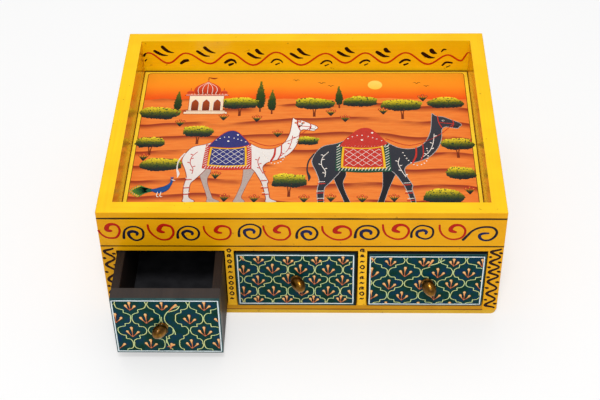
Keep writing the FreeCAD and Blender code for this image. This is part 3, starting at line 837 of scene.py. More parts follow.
trunks += [stroke(moved(SPINDLE_TRUNK, u, v)) for u, v, wide, high in CYPRESSES]
on_tray("picture_trunks", trunk_brown, trunks)
on_tray("picture_crown_shadows", shrub_dark, shapes=crowns + spindles)
leafy("picture_round_trees", crowns, leaf_green, 3)
cypress_green = paint_finish("cypress_green", rgb(16, 40, 22), rgb(42, 66, 22), rgb(112, 116, 30))
leafy("picture_cypresses", spindles, cypress_green, 5)


# THE PICTURE'S CAMELS
# Two camels walk to the right with saddles and fringed cloths, one chalk white and one charcoal, in body
# colour laid in layers: far legs, body, outline, cloth, saddle, harness and beads.

CAMEL = (
    (-33, 55), (-28, 62), (-19, 65), (-11, 70), (-3, 78), (3, 79), (9, 72), (16, 65), (24, 60), (33, 60), (40, 66),
    (44, 76), (45.5, 86), (46, 92.5), (46.6, 97.5), (46.6, 97.5), (49.5, 94.3), (54, 93.5), (60, 89.8), (64.5, 87.2),
    (66, 84.6), (64.2, 82.6), (63, 81), (58.5, 82), (54.5, 82.6), (52.2, 79), (51.6, 71), (49, 61.5), (44, 53),
    (37, 47.5), (29, 44), (25.5, 39), (26.5, 32), (30, 23), (29.5, 19.5), (31, 10), (32, 4), (36.5, 1.2), (36.5, 0),
    (36.5, 0), (29, 0), (28.8, 4), (27.5, 11), (25.5, 19.5), (23, 26), (18.5, 35), (13, 38.5), (2, 37), (-8, 39),
    (-15, 42.5), (-17, 36), (-20.5, 30), (-24.5, 24), (-27, 20), (-27.5, 12), (-27, 5), (-23, 1.5), (-23, 0),
    (-23, 0), (-31, 0), (-31.2, 5), (-31.8, 13), (-31.5, 20.5), (-30.5, 27), (-32.5, 36), (-35.5, 46),
)
FAR_FORELEG = (
    (12, 42), (22, 43), (18, 30), (15, 21), (12.5, 12), (11, 5), (13.5, 1.5), (13.5, 0), (13.5, 0), (5.5, 0),
    (6.5, 4.5), (8.5, 12), (10.5, 21), (11, 30),
)
FAR_HINDLEG = (
    (-28, 44), (-16, 44), (-13, 34), (-15, 26), (-14, 18), (-11, 8), (-9.5, 4), (-5, 1.2), (-5, 0), (-5, 0),
    (-13.5, 0), (-13.8, 4), (-15.5, 11), (-18, 19), (-19.5, 24), (-22, 32),
)
CAMEL_TAIL = ((-34, 54, 0.8), (-37.5, 47, 0.7), (-38.5, 38, 0.6), (-37, 31, 1.2), (-37.4, 27, 0.3))
SADDLE = (
    (-17, 62), (-17, 62), (-12, 70.5), (-4, 79.6), (3, 80.6), (9.6, 73.2), (15, 64.6), (15, 64.6), (8, 61.5),
    (-1, 60.5), (-9, 61),
)
CLOTH = (
    (-20, 37), (-20, 37), (-19.4, 52), (-18.5, 65), (-18.5, 65), (-8, 63.5), (6, 63.5), (15.5, 66), (15.5, 66),
    (16.5, 51), (17, 36.5), (17, 36.5), (-2, 35.2),
)
CLOTH_CENTRE, BAND_SHARE, FIELD_SHARE = (-1.6, 50.4), (0.8, 0.78), (0.72, 0.68)
FIELD_CORNERS = ((-13.6, 42.0), (10.6, 59.0))
TRELLIS, TICKS_ALONG, TICKS_UP = range(-3, 8), 15, 8
STRAPS = (
    ((52.5, 81.5, 0.45), (50.6, 87.5, 0.5), (50.2, 94, 0.45)), ((59.5, 82, 0.4), (60.6, 86, 0.45), (60.2, 89.6, 0.4)),
    ((50.6, 87.5, 0.35), (55, 86.6, 0.35), (60.6, 86, 0.35)),
    ((31, 45, 0.8), (33.5, 52, 0.85), (34, 60.2, 0.7)), ((36.5, 47.5, 0.5), (38.5, 54, 0.5), (38.6, 64, 0.5)),
)
REIN = ((60.6, 86, 0.25), (48, 72, 0.22), (30, 63, 0.22), (14, 70, 0.25))
NECK_STRING = ((24, 58), (28, 48), (33, 42.5), (39, 45), (41.5, 52), (41, 60))
SADDLE_STRING, SADDLE_STUDS = ((-14, 68), (-3, 73.5), (12, 67.5)), ((5, 76), (-2, 68.5))
LEG_BANDS = ((27.3, 15), (28.3, 8), (-29.8, 15), (-29.3, 8), (-29, 24), (26.5, 23))
LEG_STRAP, LEG_LACE = ((-2.2, 0, 0.5), (2.2, 0.4, 0.5)), ((-2.0, 1.9, 0.3), (2.0, 2.2, 0.3))
FACE_EYE, NOSTRIL, MOUTH = (53.8, 89.4), (64.2, 85.6), ((63.8, 83, 0.2), (60, 83.6, 0.2))
COAT_VINES = (
    ((-24.5, 56), (-28.5, 50), (-29, 43), (-26.5, 36.5), (-26.8, 31)), ((22.5, 50), (21.5, 44), (23.5, 37), (26, 31)),
    ((37, 50), (42.5, 56.5), (45.5, 65), (46.8, 75)),
)
CAMEL_LIFTS = {
    "far_legs": -0.04, "far_outline": -0.03, "body": 0.06, "outline": 0.1, "cloth_border": 0.12, "coat_vines": 0.14,
    "cloth_band": 0.16, "cloth_field": 0.2, "saddle": 0.24, "cloth_lines": 0.25, "harness": 0.28, "beads": 0.3,
    "eye": 0.42,
}


def dot(u, v, half, shade=0.5):
    """A round touch of the brush."""
    return stroke([(u - 0.05, v, half, shade), (u + 0.05, v, half, shade)], 1)


def beads(points, gap, half):
    """Round touches at even steps along a line."""
    line, spots, walked = flow(points, 12), [], 0.0
    for here, there in zip(line, line[1:]):
        walked += math.dist(here[:2], there[:2])
        if walked >= gap:
            spots.append(dot(there[0], there[1], half))
            walked = 0.0
    return spots


def thin(points, half, closed=False):
    """The given points as a line of one width."""
    line = [(*point[:2], half) for point in points]
    return line + line[:2] if closed else line


def camel(name, at, scale, coats, outline_finish, cloth_finishes, vine_finish):
    """A walking camel with its far legs, cloth, saddle and harness, in layers from the back forwards."""
    def here(points):
        return moved(points, *at, scale, scale)

    def scaled(points):
        return [(*point[:2], point[2] * scale) for point in points]

    def lay(layer, finish, lines=(), shapes=()):
        on_tray(f"{name}_{layer}", finish, lines, shapes, CAMEL_LIFTS[layer])

    body, saddle = (flow(here(outline), 4, True) for outline in (CAMEL, SADDLE))
    far = [flow(here(leg), 4, True) for leg in (FAR_FORELEG, FAR_HINDLEG)]
    lay("far_legs", coats[1], shapes=far)
    lay("far_outline", outline_finish, [stroke(thin(leg, 0.3, True), 1) for leg in far])
    lay("body", coats[0], [stroke(here(CAMEL_TAIL))], [body])
    lay("outline", outline_finish, [stroke(thin(body, 0.32, True), 1)])
    border_finish, field_finish = cloth_finishes
    about = moved(CLOTH, -CLOTH_CENTRE[0], -CLOTH_CENTRE[1])
    for layer, finish, share in (
        ("cloth_border", border_finish, (1, 1)), ("cloth_band", cloth_yellow, BAND_SHARE),
        ("cloth_field", field_finish, FIELD_SHARE),
    ):
        lay(layer, finish, shapes=[flow(here(moved(about, *CLOTH_CENTRE, *share)), 4, True)])
    low, high = here(FIELD_CORNERS)
    span = high[1] - low[1]
    trellis = []
    for number in TRELLIS:
        start = low[0] + number * span / 3.0
        for foot, head in ((high[1], low[1]), (low[1], high[1])):
            trellis += inside_only(stroke([(start, foot, 0.22), (start + span, head, 0.22)], 8), low, high)
    ticks = []
    for share in [step / TICKS_ALONG for step in range(TICKS_ALONG + 1)]:
        ticks += [[(-18 + 33 * share, end, 0.25), (-16.8 + 33 * share, end + 2.6, 0.2)] for end in (37.4, 61.6)]
    for share in [step / TICKS_UP for step in range(TICKS_UP + 1)]:
        ticks += [[(end, 40 + 21 * share, 0.25), (end + 2.4, 42 + 21 * share, 0.2)] for end in (-19.0, 13.4)]
    lay("cloth_lines", chalk_white, trellis + [stroke(here(scaled(tick))) for tick in ticks])
    lay("saddle", field_finish, shapes=[saddle])
    straps = [stroke(here(strap)) for strap in STRAPS]
    straps += [stroke(thin(saddle, 0.35, True), 1), stroke(here(REIN))]
    straps += [stroke(here(moved(LEG_STRAP, *place))) for place in LEG_BANDS]
    lay("harness", cloth_red, straps)
    whites = beads(here(NECK_STRING), 2.3 * scale, 0.62) + beads(here(SADDLE_STRING), 3.0 * scale, 0.6)
    whites += [dot(*spot, 0.9 * scale) for spot in here((FACE_EYE, *SADDLE_STUDS))]
    whites += [stroke(here(moved(LEG_LACE, *place))) for place in LEG_BANDS]
    lay("beads", chalk_white, whites)
    vines = []
    for vine in COAT_VINES:
        vines.append(stroke(here(thin(vine, 0.32))))
        for number, (u, v) in enumerate(spot[:2] for spot in flow(here(thin(vine, 0.0)), 3)[2:-1:2]):
            lean = 1.9 if number % 2 else -1.9
            vines.append(stroke([(u, v, 0.25), (u + lean, v + 1.0, 0.55), (u + lean * 1.1, v + 1.2, 0.4)]))
    lay("coat_vines", vine_finish, vines)
    eye, nostril = here((FACE_EYE, NOSTRIL))
    lay("eye", black_paint, [dot(*eye, 0.62 * scale), stroke(here(MOUTH)), dot(*nostril, 0.3)])


chalk_white = paint_finish("chalk_white", rgb(240, 232, 222))
charcoal = paint_finish("charcoal", rgb(40, 42, 50), rgb(54, 56, 64), speckle=0.5)
far_charcoal = paint_finish("far_charcoal", rgb(32, 32, 38))
pale_coat = paint_finish("pale_coat", rgb(214, 206, 200), rgb(240, 234, 228), speckle=0.5)
far_pale = paint_finish("far_pale", rgb(182, 164, 156))
cloth_green = paint_finish("cloth_green", rgb(34, 78, 58))
cloth_yellow = paint_finish("cloth_yellow", rgb(240, 186, 36))
cloth_red = paint_finish("cloth_red", rgb(196, 54, 44))
cloth_blue = paint_finish("cloth_blue", rgb(52, 54, 118))
outline_grey = paint_finish("outline_grey", rgb(176, 172, 170))
outline_red = paint_finish("outline_red", rgb(150, 44, 26))
camel("pale_camel", (-60, -68), 1.08, (pale_coat, far_pale), outline_red, (cloth_red, cloth_blue), cloth_red)
camel("dark_camel", (50, -76), 1.22, (charcoal, far_charcoal), outline_grey, (cloth_green, cloth_red), chalk_white)


# THE PICTURE'S PAVILION AND SKY
# A cream pavilion with a ribbed red dome and two small ones stands on the horizon, with a low sun and a few
# birds beside it, painted flat with fine white and dark red lines.

PAVILION_AT, PAVILION_SCALE = (-84, 42), 0.92
WALLS = (
    ((-20, 0), (20, 0), (20, 3), (-20, 3)), ((-18, 3), (18, 3), (18, 5), (-18, 5)),
    ((-16, 5), (16, 5), (16, 27), (-16, 27)),
)
DOORWAY = (
    (-3.6, 5), (-3.6, 5), (-3.6, 15), (-2.8, 18.5), (0, 22), (0, 22), (2.8, 18.5), (3.6, 15), (3.6, 5), (3.6, 5),
)
DOOR_PLACES = (-10.2, 0, 10.2)
EAVE = ((-21, 27), (21, 27), (18, 30.5), (-18, 30.5))
DOME = (
    (-11, 30), (-11, 30), (-12.6, 35), (-11, 40.5), (-6.5, 45), (-1.6, 48), (0, 51.5), (0, 51.5), (1.6, 48), (6.5, 45),
    (11, 40.5), (12.6, 35), (11, 30), (11, 30),
)
SMALL_DOMES = [moved(DOME, side * 15.5, 22.7, 0.27, 0.26) for side in (-1, 1)]
DOME_RIB = ((10.4, 30.5, 0.25), (12.0, 35.5, 0.25), (9.6, 41.5, 0.22), (0, 47.6, 0.18))
RIB_SHARES = (-0.75, -0.4, 0.0, 0.4, 0.75)
STRING_COURSES = [((-19.4, height, 0.25), (19.4, height, 0.25)) for height in (28.2, 3.0)]
EAVE_BEADS = ((-17.5, 29.4), (0, 29.4), (17.5, 29.4))
SPIRES = [
    ((0, 51, 0.35), (0, 55, 0.25)), ((0, 55, 0.3), (5, 53.6, 0.9), (8, 54.4, 0.2)),
    *(((side * 15.5, 35.8, 0.25), (side * 15.5, 38.4, 0.2)) for side in (-1, 1)),
]
SUN_AT, SUN_RADIUS, SUN_CORNERS = (60, 82), 6.2, 28
BIRD = ((-1.2, 0.5, 0.12), (-0.5, 0.55, 0.3), (0, 0, 0.26), (0.5, 0.6, 0.3), (1.3, 0.4, 0.12))
BIRDS = ((14, 84, 2.6), (22, 80, 2.2), (-8, 88, 2.4), (96, 84, 2.6), (104, 80, 2.0))


def pavilion(points):
    """Points of the pavilion, set down where it stands."""
    return moved(points, *PAVILION_AT, PAVILION_SCALE, PAVILION_SCALE)


def spaced_round(u, v, reach, count):
    """Points at even steps round a centre."""
    angles = [turn * math.tau / count for turn in range(count)]
    return [(u + reach * math.cos(angle), v + reach * math.sin(angle)) for angle in angles]


cream = paint_finish("pavilion_cream", rgb(236, 206, 168), rgb(246, 230, 204), speckle=0.4)
door_brown = paint_finish("doorway_brown", rgb(112, 40, 20), rgb(170, 74, 30))
dome_red = paint_finish("dome_red", rgb(176, 46, 26), rgb(210, 72, 36), rgb(232, 110, 60), speckle=0.3)
on_tray("pavilion_walls", cream, shapes=[pavilion(wall) for wall in WALLS], lift=0.02)
doorways = [moved(DOORWAY, place, 0) for place in DOOR_PLACES]
on_tray("pavilion_doors", door_brown, shapes=[flow(pavilion(doorway), 4, True) for doorway in doorways], lift=0.06)
domes = [flow(pavilion(dome), 4, True) for dome in [DOME] + SMALL_DOMES]
on_tray("pavilion_roof", dome_red, shapes=domes + [pavilion(EAVE)], lift=0.05)
ribs = [stroke(pavilion(moved(DOME_RIB, 0, 0, share))) for share in RIB_SHARES]
ribs += [stroke(pavilion(course)) for course in STRING_COURSES]
ribs += [stroke(pavilion(thin(doorway, 0.3))) for doorway in doorways]
on_tray("pavilion_lines", chalk_white, ribs + beads(pavilion(EAVE_BEADS), 2.6, 0.42), lift=0.12)
edges = [stroke(pavilion(spire)) for spire in SPIRES]
edges += [stroke(pavilion(thin(wall, 0.24, True)), 1) for wall in WALLS]
on_tray("pavilion_edges", outline_red, edges, lift=0.14)
sun_yellow = paint_finish("sun_yellow", rgb(255, 196, 70), rgb(255, 222, 110))
on_tray("picture_sun", sun_yellow, shapes=[spaced_round(*SUN_AT, SUN_RADIUS, SUN_CORNERS)], lift=-0.02)
on_tray("picture_birds", black_paint, [stroke(moved(BIRD, u, v, size, size)) for u, v, size in BIRDS])


# THE PICTURE'S PEACOCK AND TUFTS
# A blue peacock with a fan of green train feathers stands at the left, and tufts of green blades with
# five-petalled red flowers are dotted over the sand, each petal one touch of a round brush.

PEACOCK_AT, PEACOCK_SCALE = (-112, -60), 0.8
FEATHERS, FEATHER_TURN, FEATHER_LENGTH = 9, 6, 24
PEACOCK = ((-9.5, 22, 1.3), (-9.6, 19.5, 1.0), (-8, 15, 1.5), (-4, 9.5, 3.0), (2, 6.6, 3.4), (8, 7, 1.5))
PEACOCK_EYE, BEAK = (-9.8, 22.2), ((-10.6, 21.6, 0.5), (-13, 20.8, 0.12))
PEACOCK_LEG = ((0, 3.4, 0.35), (0.4, -2.5, 0.35), (-1.6, -3.2, 0.2))
CREST_STEPS, FEET = (0, 1.3, 2.6), (-0.5, 2.8)
BLADE_LEANS, FLOWER_LEANS = (-3.6, -1.9, 0.2, 2.1, 3.8), (-3.0, 0.1, 3.1)
TUFTS = (
    (-61.5, -67), (-38, -68), (22, -67), (46.5, -68), (71.5, -67), (1, -68), (-4, 24), (34, 32), (66, 42), (100, 60),
    (-104, 26), (-40, 32), (-22, 12), (-130, -18), (-68, 34), (22, 40), (131, -58), (-70, -40),
)


def beside(points):
    """Points of the peacock, which faces right with its train behind it."""
    return moved(points, *PEACOCK_AT, -PEACOCK_SCALE, PEACOCK_SCALE)


feathers, eyes, cores = [], [], []
for number in range(FEATHERS):
    off_middle = number - FEATHERS // 2
    spread = math.radians(off_middle * FEATHER_TURN)
    reach = FEATHER_LENGTH - 1.6 * abs(off_middle)
    tip = (6 + reach * math.cos(spread), 6 + reach * math.sin(spread))
    middle = (6 + reach * 0.5, 7 + reach * 0.42 * math.sin(spread), 1.0, 0.5)
    feathers.append(stroke(beside([(4, 7, 0.6, 0.0), middle, (*tip, 1.6, 1.0)])))
    eyes.append(dot(*beside([tip])[0], 1.15))
    cores.append(dot(*beside([tip])[0], 0.55))
train_green = paint_finish("train_green", rgb(12, 62, 52), rgb(24, 98, 62), rgb(90, 146, 52))
on_tray("peacock_train", train_green, feathers, lift=0.02)
on_tray("peacock_eyes", cloth_yellow, eyes, lift=0.2)
bird = [stroke(beside(PEACOCK))]
bird += [stroke(beside([(-9.5, 23, 0.18), (-10.8 + step, 26.4, 0.35)])) for step in CREST_STEPS]
peacock_blue = paint_finish("peacock_blue", rgb(18, 56, 128), rgb(30, 88, 152))
on_tray("peacock_body", peacock_blue, bird + cores, lift=0.28)
trims = [stroke(beside(BEAK)), dot(*beside([PEACOCK_EYE])[0], 0.35)]
trims += [stroke(beside(moved(PEACOCK_LEG, foot, 0))) for foot in FEET]
on_tray("peacock_trims", chalk_white, trims, lift=0.75)
blades, petals, hearts = [], [], []
for u, v in TUFTS:
    for lean in BLADE_LEANS:
        tip = (u + lean, v + 6.5 - abs(lean) * 0.5)
        blades.append(stroke([(u, v, 0.6, 0.0), (u + lean * 0.6, v + 3.4, 0.6, 0.4), (*tip, 0.2, 0.7)]))
    for lean in FLOWER_LEANS:
        head = (u + lean, v + 7.6 - abs(lean) * 0.5)
        petals += [dot(*spot, 0.6) for spot in spaced_round(*head, 0.95, 5)]
        hearts.append(dot(*head, 0.5))
on_tray("tuft_blades", leaf_green, blades, lift=0.02)
on_tray("tuft_petals", cloth_red, petals, lift=0.08)
on_tray("tuft_hearts", cloth_yellow, hearts, lift=0.16)


# THE DRAWERS
# Each drawer is a dark brown stained box over a grey bottom sheet, with a painted front: deep teal in a pale
# line, a freehand lattice of stepped ogee cells, and a bud of three orange petals in every cell.

def dark_stain(tree):
    """Near-black brown stain rubbed on pine, with the grain showing a little: its height and its colour."""
    grain = noise(tree, stretched(tree, (180, 14, 260)), 1.0, 5.0, 0.65)
    colour = graded(tree, grain, [(0.3, rgb(30, 22, 20)), (0.5, rgb(38, 30, 27)), (0.75, rgb(46, 37, 33))])
    return grain, colour


dark, dark_tree, dark_shader = new_finish("dark_stained_pine", 0.5)
dark_grain, dark_colour = dark_stain(dark_tree)
dark_tree.links.new(dark_colour, dark_shader.inputs["Base Color"])
emboss(dark_tree, dark_shader, dark_grain, 0.0001)
sheet_grey, sheet_tree, sheet_shader = new_finish("drawer_bottom_grey", 0.5)
sheet_clouds = noise(sheet_tree, stretched(sheet_tree, (1, 1, 1)), 90.0, 4.0)
sheet_colour = graded(sheet_tree, sheet_clouds, [(0.35, rgb(38, 38, 41)), (0.65, rgb(50, 50, 53))])
sheet_tree.links.new(sheet_colour, sheet_shader.inputs["Base Color"])
for drawer in DRAWERS:
    repaint([f"{drawer}_drawer_{board}" for board in ("left_wall", "right_wall", "back")], dark)
    repaint([f"{drawer}_drawer_floor"], sheet_grey)


# Painted shadow: dark strips along some edges of the closed fronts, where the gaps beside and above them lie in shade.
PAINTED_GAP_SHADOWS = {"left": (), "middle": ((0, 1, 1.7), (2, 1, 1.2)), "right": ((0, -1, 1.0), (2, 1, 1.3))}
GAP_SHADOW_SOFTNESS, GAP_SHADOW_DARK = 0.3, rgb(8, 13, 15)
SLATE_EDGE = (-2.2, -1.8)
PAINT_RUNS_BACK = (1.5, 2.3)
GREY_SHARE, STAIN_GREY = 0.18, rgb(112, 106, 104)


def teal_front(drawer):
    """A drawer front's paint: mottled deep teal, a greyer slate near its edges, and painted shadow along some edges.

    A painted shadow runs along one axis, at its low or high side, over so many millimetres.
    """
    low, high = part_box(f"{drawer}_drawer_front")
    material, tree, shader = new_finish(f"{drawer}_teal_front", 0.38)
    shader.inputs["Specular IOR Level"].default_value = PAINT_SHEEN / 2
    place = split(tree, stretched(tree, (1, 1, 1)))
    clouds = noise(tree, stretched(tree, (1, 1, 1)), 120.0, 4.0, 0.6)
    deep = graded(tree, clouds, [(0.36, rgb(0, 48, 34)), (0.5, rgb(0, 56, 58)), (0.66, rgb(2, 46, 78))])
    slate = graded(tree, clouds, [(0.3, rgb(30, 62, 64)), (0.7, rgb(54, 86, 86))])
    middle, reach = (low + high) / 2, (high - low) / 2
    over_x = calc(tree, "SUBTRACT", calc(tree, "ABSOLUTE", calc(tree, "SUBTRACT", place[0], middle.x)), reach.x)
    over_z = calc(tree, "SUBTRACT", calc(tree, "ABSOLUTE", calc(tree, "SUBTRACT", place[2], middle.z)), reach.z)
    edge = band(tree, calc(tree, "MAXIMUM", over_x, over_z), *(over * MM for over in SLATE_EDGE))
    painted = blend_colours(tree, edge, deep, slate)
    # Painted shadow along each listed edge.
    for axis, side, width in PAINTED_GAP_SHADOWS[drawer]:
        start = (high if side > 0 else low)[axis] - side * width * MM
        gap_shadow = band(tree, place[axis], start, start + side * GAP_SHADOW_SOFTNESS * MM)
        painted = blend_colours(tree, gap_shadow, painted, GAP_SHADOW_DARK)
    # The front board's faces behind its paint take the dark stain mixed with a share of grey.
    behind = band(tree, place[1], *(low.y + depth * MM for depth in PAINT_RUNS_BACK))
    bare = blend_colours(tree, GREY_SHARE, dark_stain(tree)[1], STAIN_GREY)
    tree.links.new(blend_colours(tree, behind, painted, bare), shader.inputs["Base Color"])
    emboss(tree, shader, noise(tree, stretched(tree, (30, 1, 500)), 1.0, 4.0), 0.0001)
    return material


LATTICES = {
    "left": {
        "rows": (76.9, 62.8, 48.8, 34.5, 20.7, 6.5),
        "pinches": (
            (-127.5, -100, -73), (-139.5, -115.6, -84.6, -61), (-150, -127.9, -106.2, -95.6, -74.6, -50),
            (-139.9, -117.1, -97.3, -85.7, -62.5), (-151, -128.7, -104.7, -94.5, -75.9, -53),
            (-140, -118, -87, -62),
        ),
        "shift": 2.3,
    },
    "middle": {
        "rows": (74.7, 62.6, 50.4, 38.5, 26.7, 13.9, 1.8),
        "pinches": (
            (-55, -33.3, -10.8, 9.8, 31.4, 53), (-45.1, -21.7, 0.6, 20.8, 43),
            (-56, -33.3, -10.8, 9.8, 31.4, 53), (-45.1, -22.7, 0.0, 20.2, 43),
            (-57, -34.8, -11.6, 9.4, 29.4, 51), (-46, -23.1, -1.3, 18.5, 41),
            (-57, -34.5, -12, 9, 29.5, 51),
        ),
        "shift": 0.0,
    },
    "right": {
        "rows": (72.0, 59.5, 47.7, 34.7, 22.4, 9.8),
        "pinches": (
            (42, 66, 92, 116, 139), (54.5, 79.1, 105.0, 125.0, 149), (42, 66.0, 91.3, 115.7, 139.5),
            (54.5, 78.2, 103.8, 125.8, 149), (42, 66.1, 89.9, 114.8, 138), (54, 78, 103, 126, 149),
        ),
        "shift": 0.0,
    },
}
NEAREST_PINCH, FARTHEST_PINCH, NARROWEST_CELL = 5.0, 17.0, 15.0
OUTWARD = ((0, 0), (0.0, -0.24), (0.13, -0.43), (0.39, -0.48), (0.44, -0.50), (0.46, -0.65), (0.50, -0.68),
           (0.74, -0.70), (0.93, -0.80), (1.0, -1.0))
INWARD = ((0, 0), (0.09, -0.24), (0.32, -0.35), (0.52, -0.40), (0.56, -0.43), (0.55, -0.60), (0.59, -0.645),
          (0.80, -0.69), (0.96, -0.82), (1.0, -1.0))
LATTICE_GAP, LATTICE_SHAKE = 0.5, 0.26
LATTICE_HALF, FILLER_HALF, EDGE_HALF = 0.38, 0.42, 0.38
LINE_POINTS = 4
BUD_DROP, BUD_WANDER, BUD_SIZES, BUD_SHAKE = 6.0, (0.8, 0.7), (0.9, 1.04), 0.25
BUD_NUDGES = {("left", 1, 1): -4.8}
BUD_ROWS = {
    ("left", 1): (0.0, 0.88), ("right", 1): (0.0, 0.82), ("middle", 1): (-0.8, 0.77), ("middle", 2): (0.6, 1.0),
    ("middle", 3): (1.0, 1.0), ("middle", 5): (5.2, 0.75),
}
BORDER_INSETS = {"left": (1.3, 1.9, 1.3, 1.1), "middle": (1.7, 2.4, 2.6, 2.9), "right": (1.7, 2.1, 1.6, 4.2)}
BORDER_POINTS, BORDER_HALF, BORDER_SHAKE, LATTICE_INSET = 12, 0.5, 0.08, 0.9
BUD = (
    ((0, 0, 0.36, 0.0), (-1.5, 1.7, 0.26, 0.4), (-2.8, 4.0, 0.66, 0.85), (-3.5, 5.6, 1.2, 1.0)),
    ((0, 0, 0.36, 0.0), (0.1, 3.8, 0.26, 0.4), (0.05, 7.3, 0.7, 0.85), (0.0, 9.2, 1.25, 1.0)),
    ((0, 0, 0.36, 0.0), (1.8, 1.5, 0.26, 0.4), (3.5, 3.5, 0.66, 0.85), (4.4, 4.8, 1.15, 1.0)),
)
# The pale touches on the petals' heads are painted highlights.
BUD_LIGHT = (
    ((-3.6, 5.9, 0.5), (-3.1, 4.9, 0.25)),
    ((-0.25, 9.6, 0.55), (-0.1, 8.3, 0.25)),
    ((4.5, 5.1, 0.5), (3.7, 4.3, 0.25)),
)
BUD_OUTLINE = 0.42
FILLERS = {
    "left": {
        "lines": (
            ((-90.1, 60.9), (-94.9, 58.2), (-99.4, 53.1), (-101.1, 47.9), (-100.1, 42.7), (-96.0, 37.5),
             (-94.6, 33.1), (-94.3, 30.0)),
            ((-97.5, 54.8), (-93.3, 56.3), (-90.6, 58.1), (-89.1, 60.8)),
            ((-101.2, 27.8), (-101.1, 22.5), (-99.6, 16.2), (-97.4, 13.2)),
        ),
        "petals": (
            ((-97.2, 55.6), (-94.5, 59.1), (-91.6, 62.2)),
            ((-99.2, 14.0), (-98.4, 17.5), (-98.0, 19.5)),
            ((-101, 16.4), (-98.4, 17.3), (-96.2, 18.6)),
        ),
    },
    "middle": {"lines": (), "petals": (((-44.4, 59.3), (-46.2, 62.9)),)},
    "right": {
        "lines": (((97.6, 54.4), (103.0, 56.4), (108.5, 60.2)),),
        "petals": (((96.4, 52.9), (97.8, 56.0), (99.5, 59.6)), ((54.9, 58.6), (53.3, 61.6))),
    },
}
patchy = {"speckle": 1.2, "scale": 90.0}
lattice_paint = paint_finish("lattice_cream", rgb(182, 226, 172), rgb(218, 228, 160), rgb(240, 224, 140), **patchy)
lattice_under = paint_finish("lattice_green", rgb(10, 52, 36), rgb(28, 64, 28), rgb(52, 66, 22), **patchy)
border_paint = paint_finish("pale_border", rgb(228, 240, 244), rough=0.4)
bud_paint = paint_finish("bud_orange", rgb(212, 116, 80), rgb(230, 148, 92), rgb(242, 180, 110))
bud_shadow_paint = paint_finish("bud_outline", rgb(62, 16, 14))
# Painted highlights: a pale touch on each petal's head, where light would glint on it.
bud_light_paint = paint_finish("bud_light", rgb(252, 214, 158))


def lattice_lines(plan, low, high):
    """Two steps down from every pinch, one to each side, so that ogee cells stand between them."""
    lines = []
    for number in range(len(plan["rows"]) - 1):
        top, bottom = plan["rows"][number], plan["rows"][number + 1]
        shape = INWARD if number % 2 else OUTWARD
        for start in plan["pinches"][number]:
            for end in plan["pinches"][number + 1]:
                if NEAREST_PINCH < abs(end - start) < FARTHEST_PINCH:
                    side = math.copysign(LATTICE_GAP, end - start)
                    first, run = start + side + plan["shift"], end - start - 2 * side
                    points = [(first + across * run, top + down * (top - bottom), LATTICE_HALF)
                              for across, down in shape]
                    lines += inside_only(stroke(shaken(points, LATTICE_SHAKE), LINE_POINTS), low, high)
    return lines


def widened(lines, extra, u=0.0, v=0.0):
    """The same strokes drawn with a fuller brush, shifted a little."""
    return [[(spot[0] + u, spot[1] + v, spot[2] + extra, *spot[3:]) for spot in line] for line in lines]


def border_line(low, high):
    """A slightly unsteady line round a rectangle, closed."""
    corners = (low, (high[0], low[1]), high, (low[0], high[1]))
    line = []
    for here, there in zip(corners, corners[1:] + corners[:1]):
        for step in range(BORDER_POINTS):
            share = step / BORDER_POINTS
            spot = (start + (end - start) * share for start, end in zip(here, there))
            line.append((*spot, BORDER_HALF))
    line = shaken(line, BORDER_SHAKE)
    return line + line[:1]


for drawer in DRAWERS:
    front_node = f"{drawer}_drawer_front"
    repaint([front_node], teal_front(drawer))
    low, high = (Vector(corner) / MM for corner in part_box(front_node))
    face = on_face("front", 0, 0, -low.y)
    about = {"body": f"{drawer}_drawer", "slot": "teal_painted_wood"}
    left, bottom, right, top = BORDER_INSETS[drawer]
    low, high = (low.x + left, low.z + bottom), (high.x - right, high.z - top)
    paint(f"{drawer}_drawer_border", border_paint, face, [stroke(border_line(low, high), 1)], lift=0.02, **about)
    low, high = [part + LATTICE_INSET for part in low], [part - LATTICE_INSET for part in high]
    plan, filler = LATTICES[drawer], FILLERS[drawer]
    lattice = lattice_lines(plan, low, high)
    lattice += [stroke([(*spot, FILLER_HALF) for spot in points], LINE_POINTS) for points in filler["lines"]]
    edges = widened(lattice, EDGE_HALF, 0.1, -0.1)
    paint(f"{drawer}_drawer_lattice_edge", lattice_under, face, edges, lift=-0.02, **about)
    paint(f"{drawer}_drawer_lattice", lattice_paint, face, lattice, lift=0.05, **about)
    buds, lights = [], []
    for points in filler["petals"]:
        shares = [step / (len(points) - 1) for step in range(len(points))]
        petal = [(*spot, 0.4 + 0.6 * share, share) for spot, share in zip(points, shares)]
        buds.append(stroke(petal, LINE_POINTS))
    for number, (height, row) in enumerate(zip(plan["rows"], plan["pinches"])):
        for cell, (here, there) in enumerate(zip(row, row[1:])):
            if there - here < NARROWEST_CELL:
                continue
            middle = (here + there) / 2 + plan["shift"] + BUD_NUDGES.get((drawer, number, cell), 0.0)
            rise, share = BUD_ROWS.get((drawer, number), (0.0, 1.0))
            aside, along = (hand.uniform(-wander, wander) for wander in BUD_WANDER)
            base = (middle + aside, height - BUD_DROP + rise + share * along)
            size = share * hand.uniform(*BUD_SIZES)
            for group, store in ((BUD, buds), (BUD_LIGHT, lights)):
                for points in group:
                    drawn = stroke(moved(shaken(points, BUD_SHAKE), *base, size, size), LINE_POINTS)
                    store += inside_only(drawn, low, high)
    outlines = widened(buds, BUD_OUTLINE, 0.15, -0.15)
    paint(f"{drawer}_drawer_bud_outlines", bud_shadow_paint, face, outlines, **about)
    paint(f"{drawer}_drawer_buds", bud_paint, face, buds, lift=0.08, **about)
    paint(f"{drawer}_drawer_bud_lights", bud_light_paint, face, lights, lift=0.14, **about)
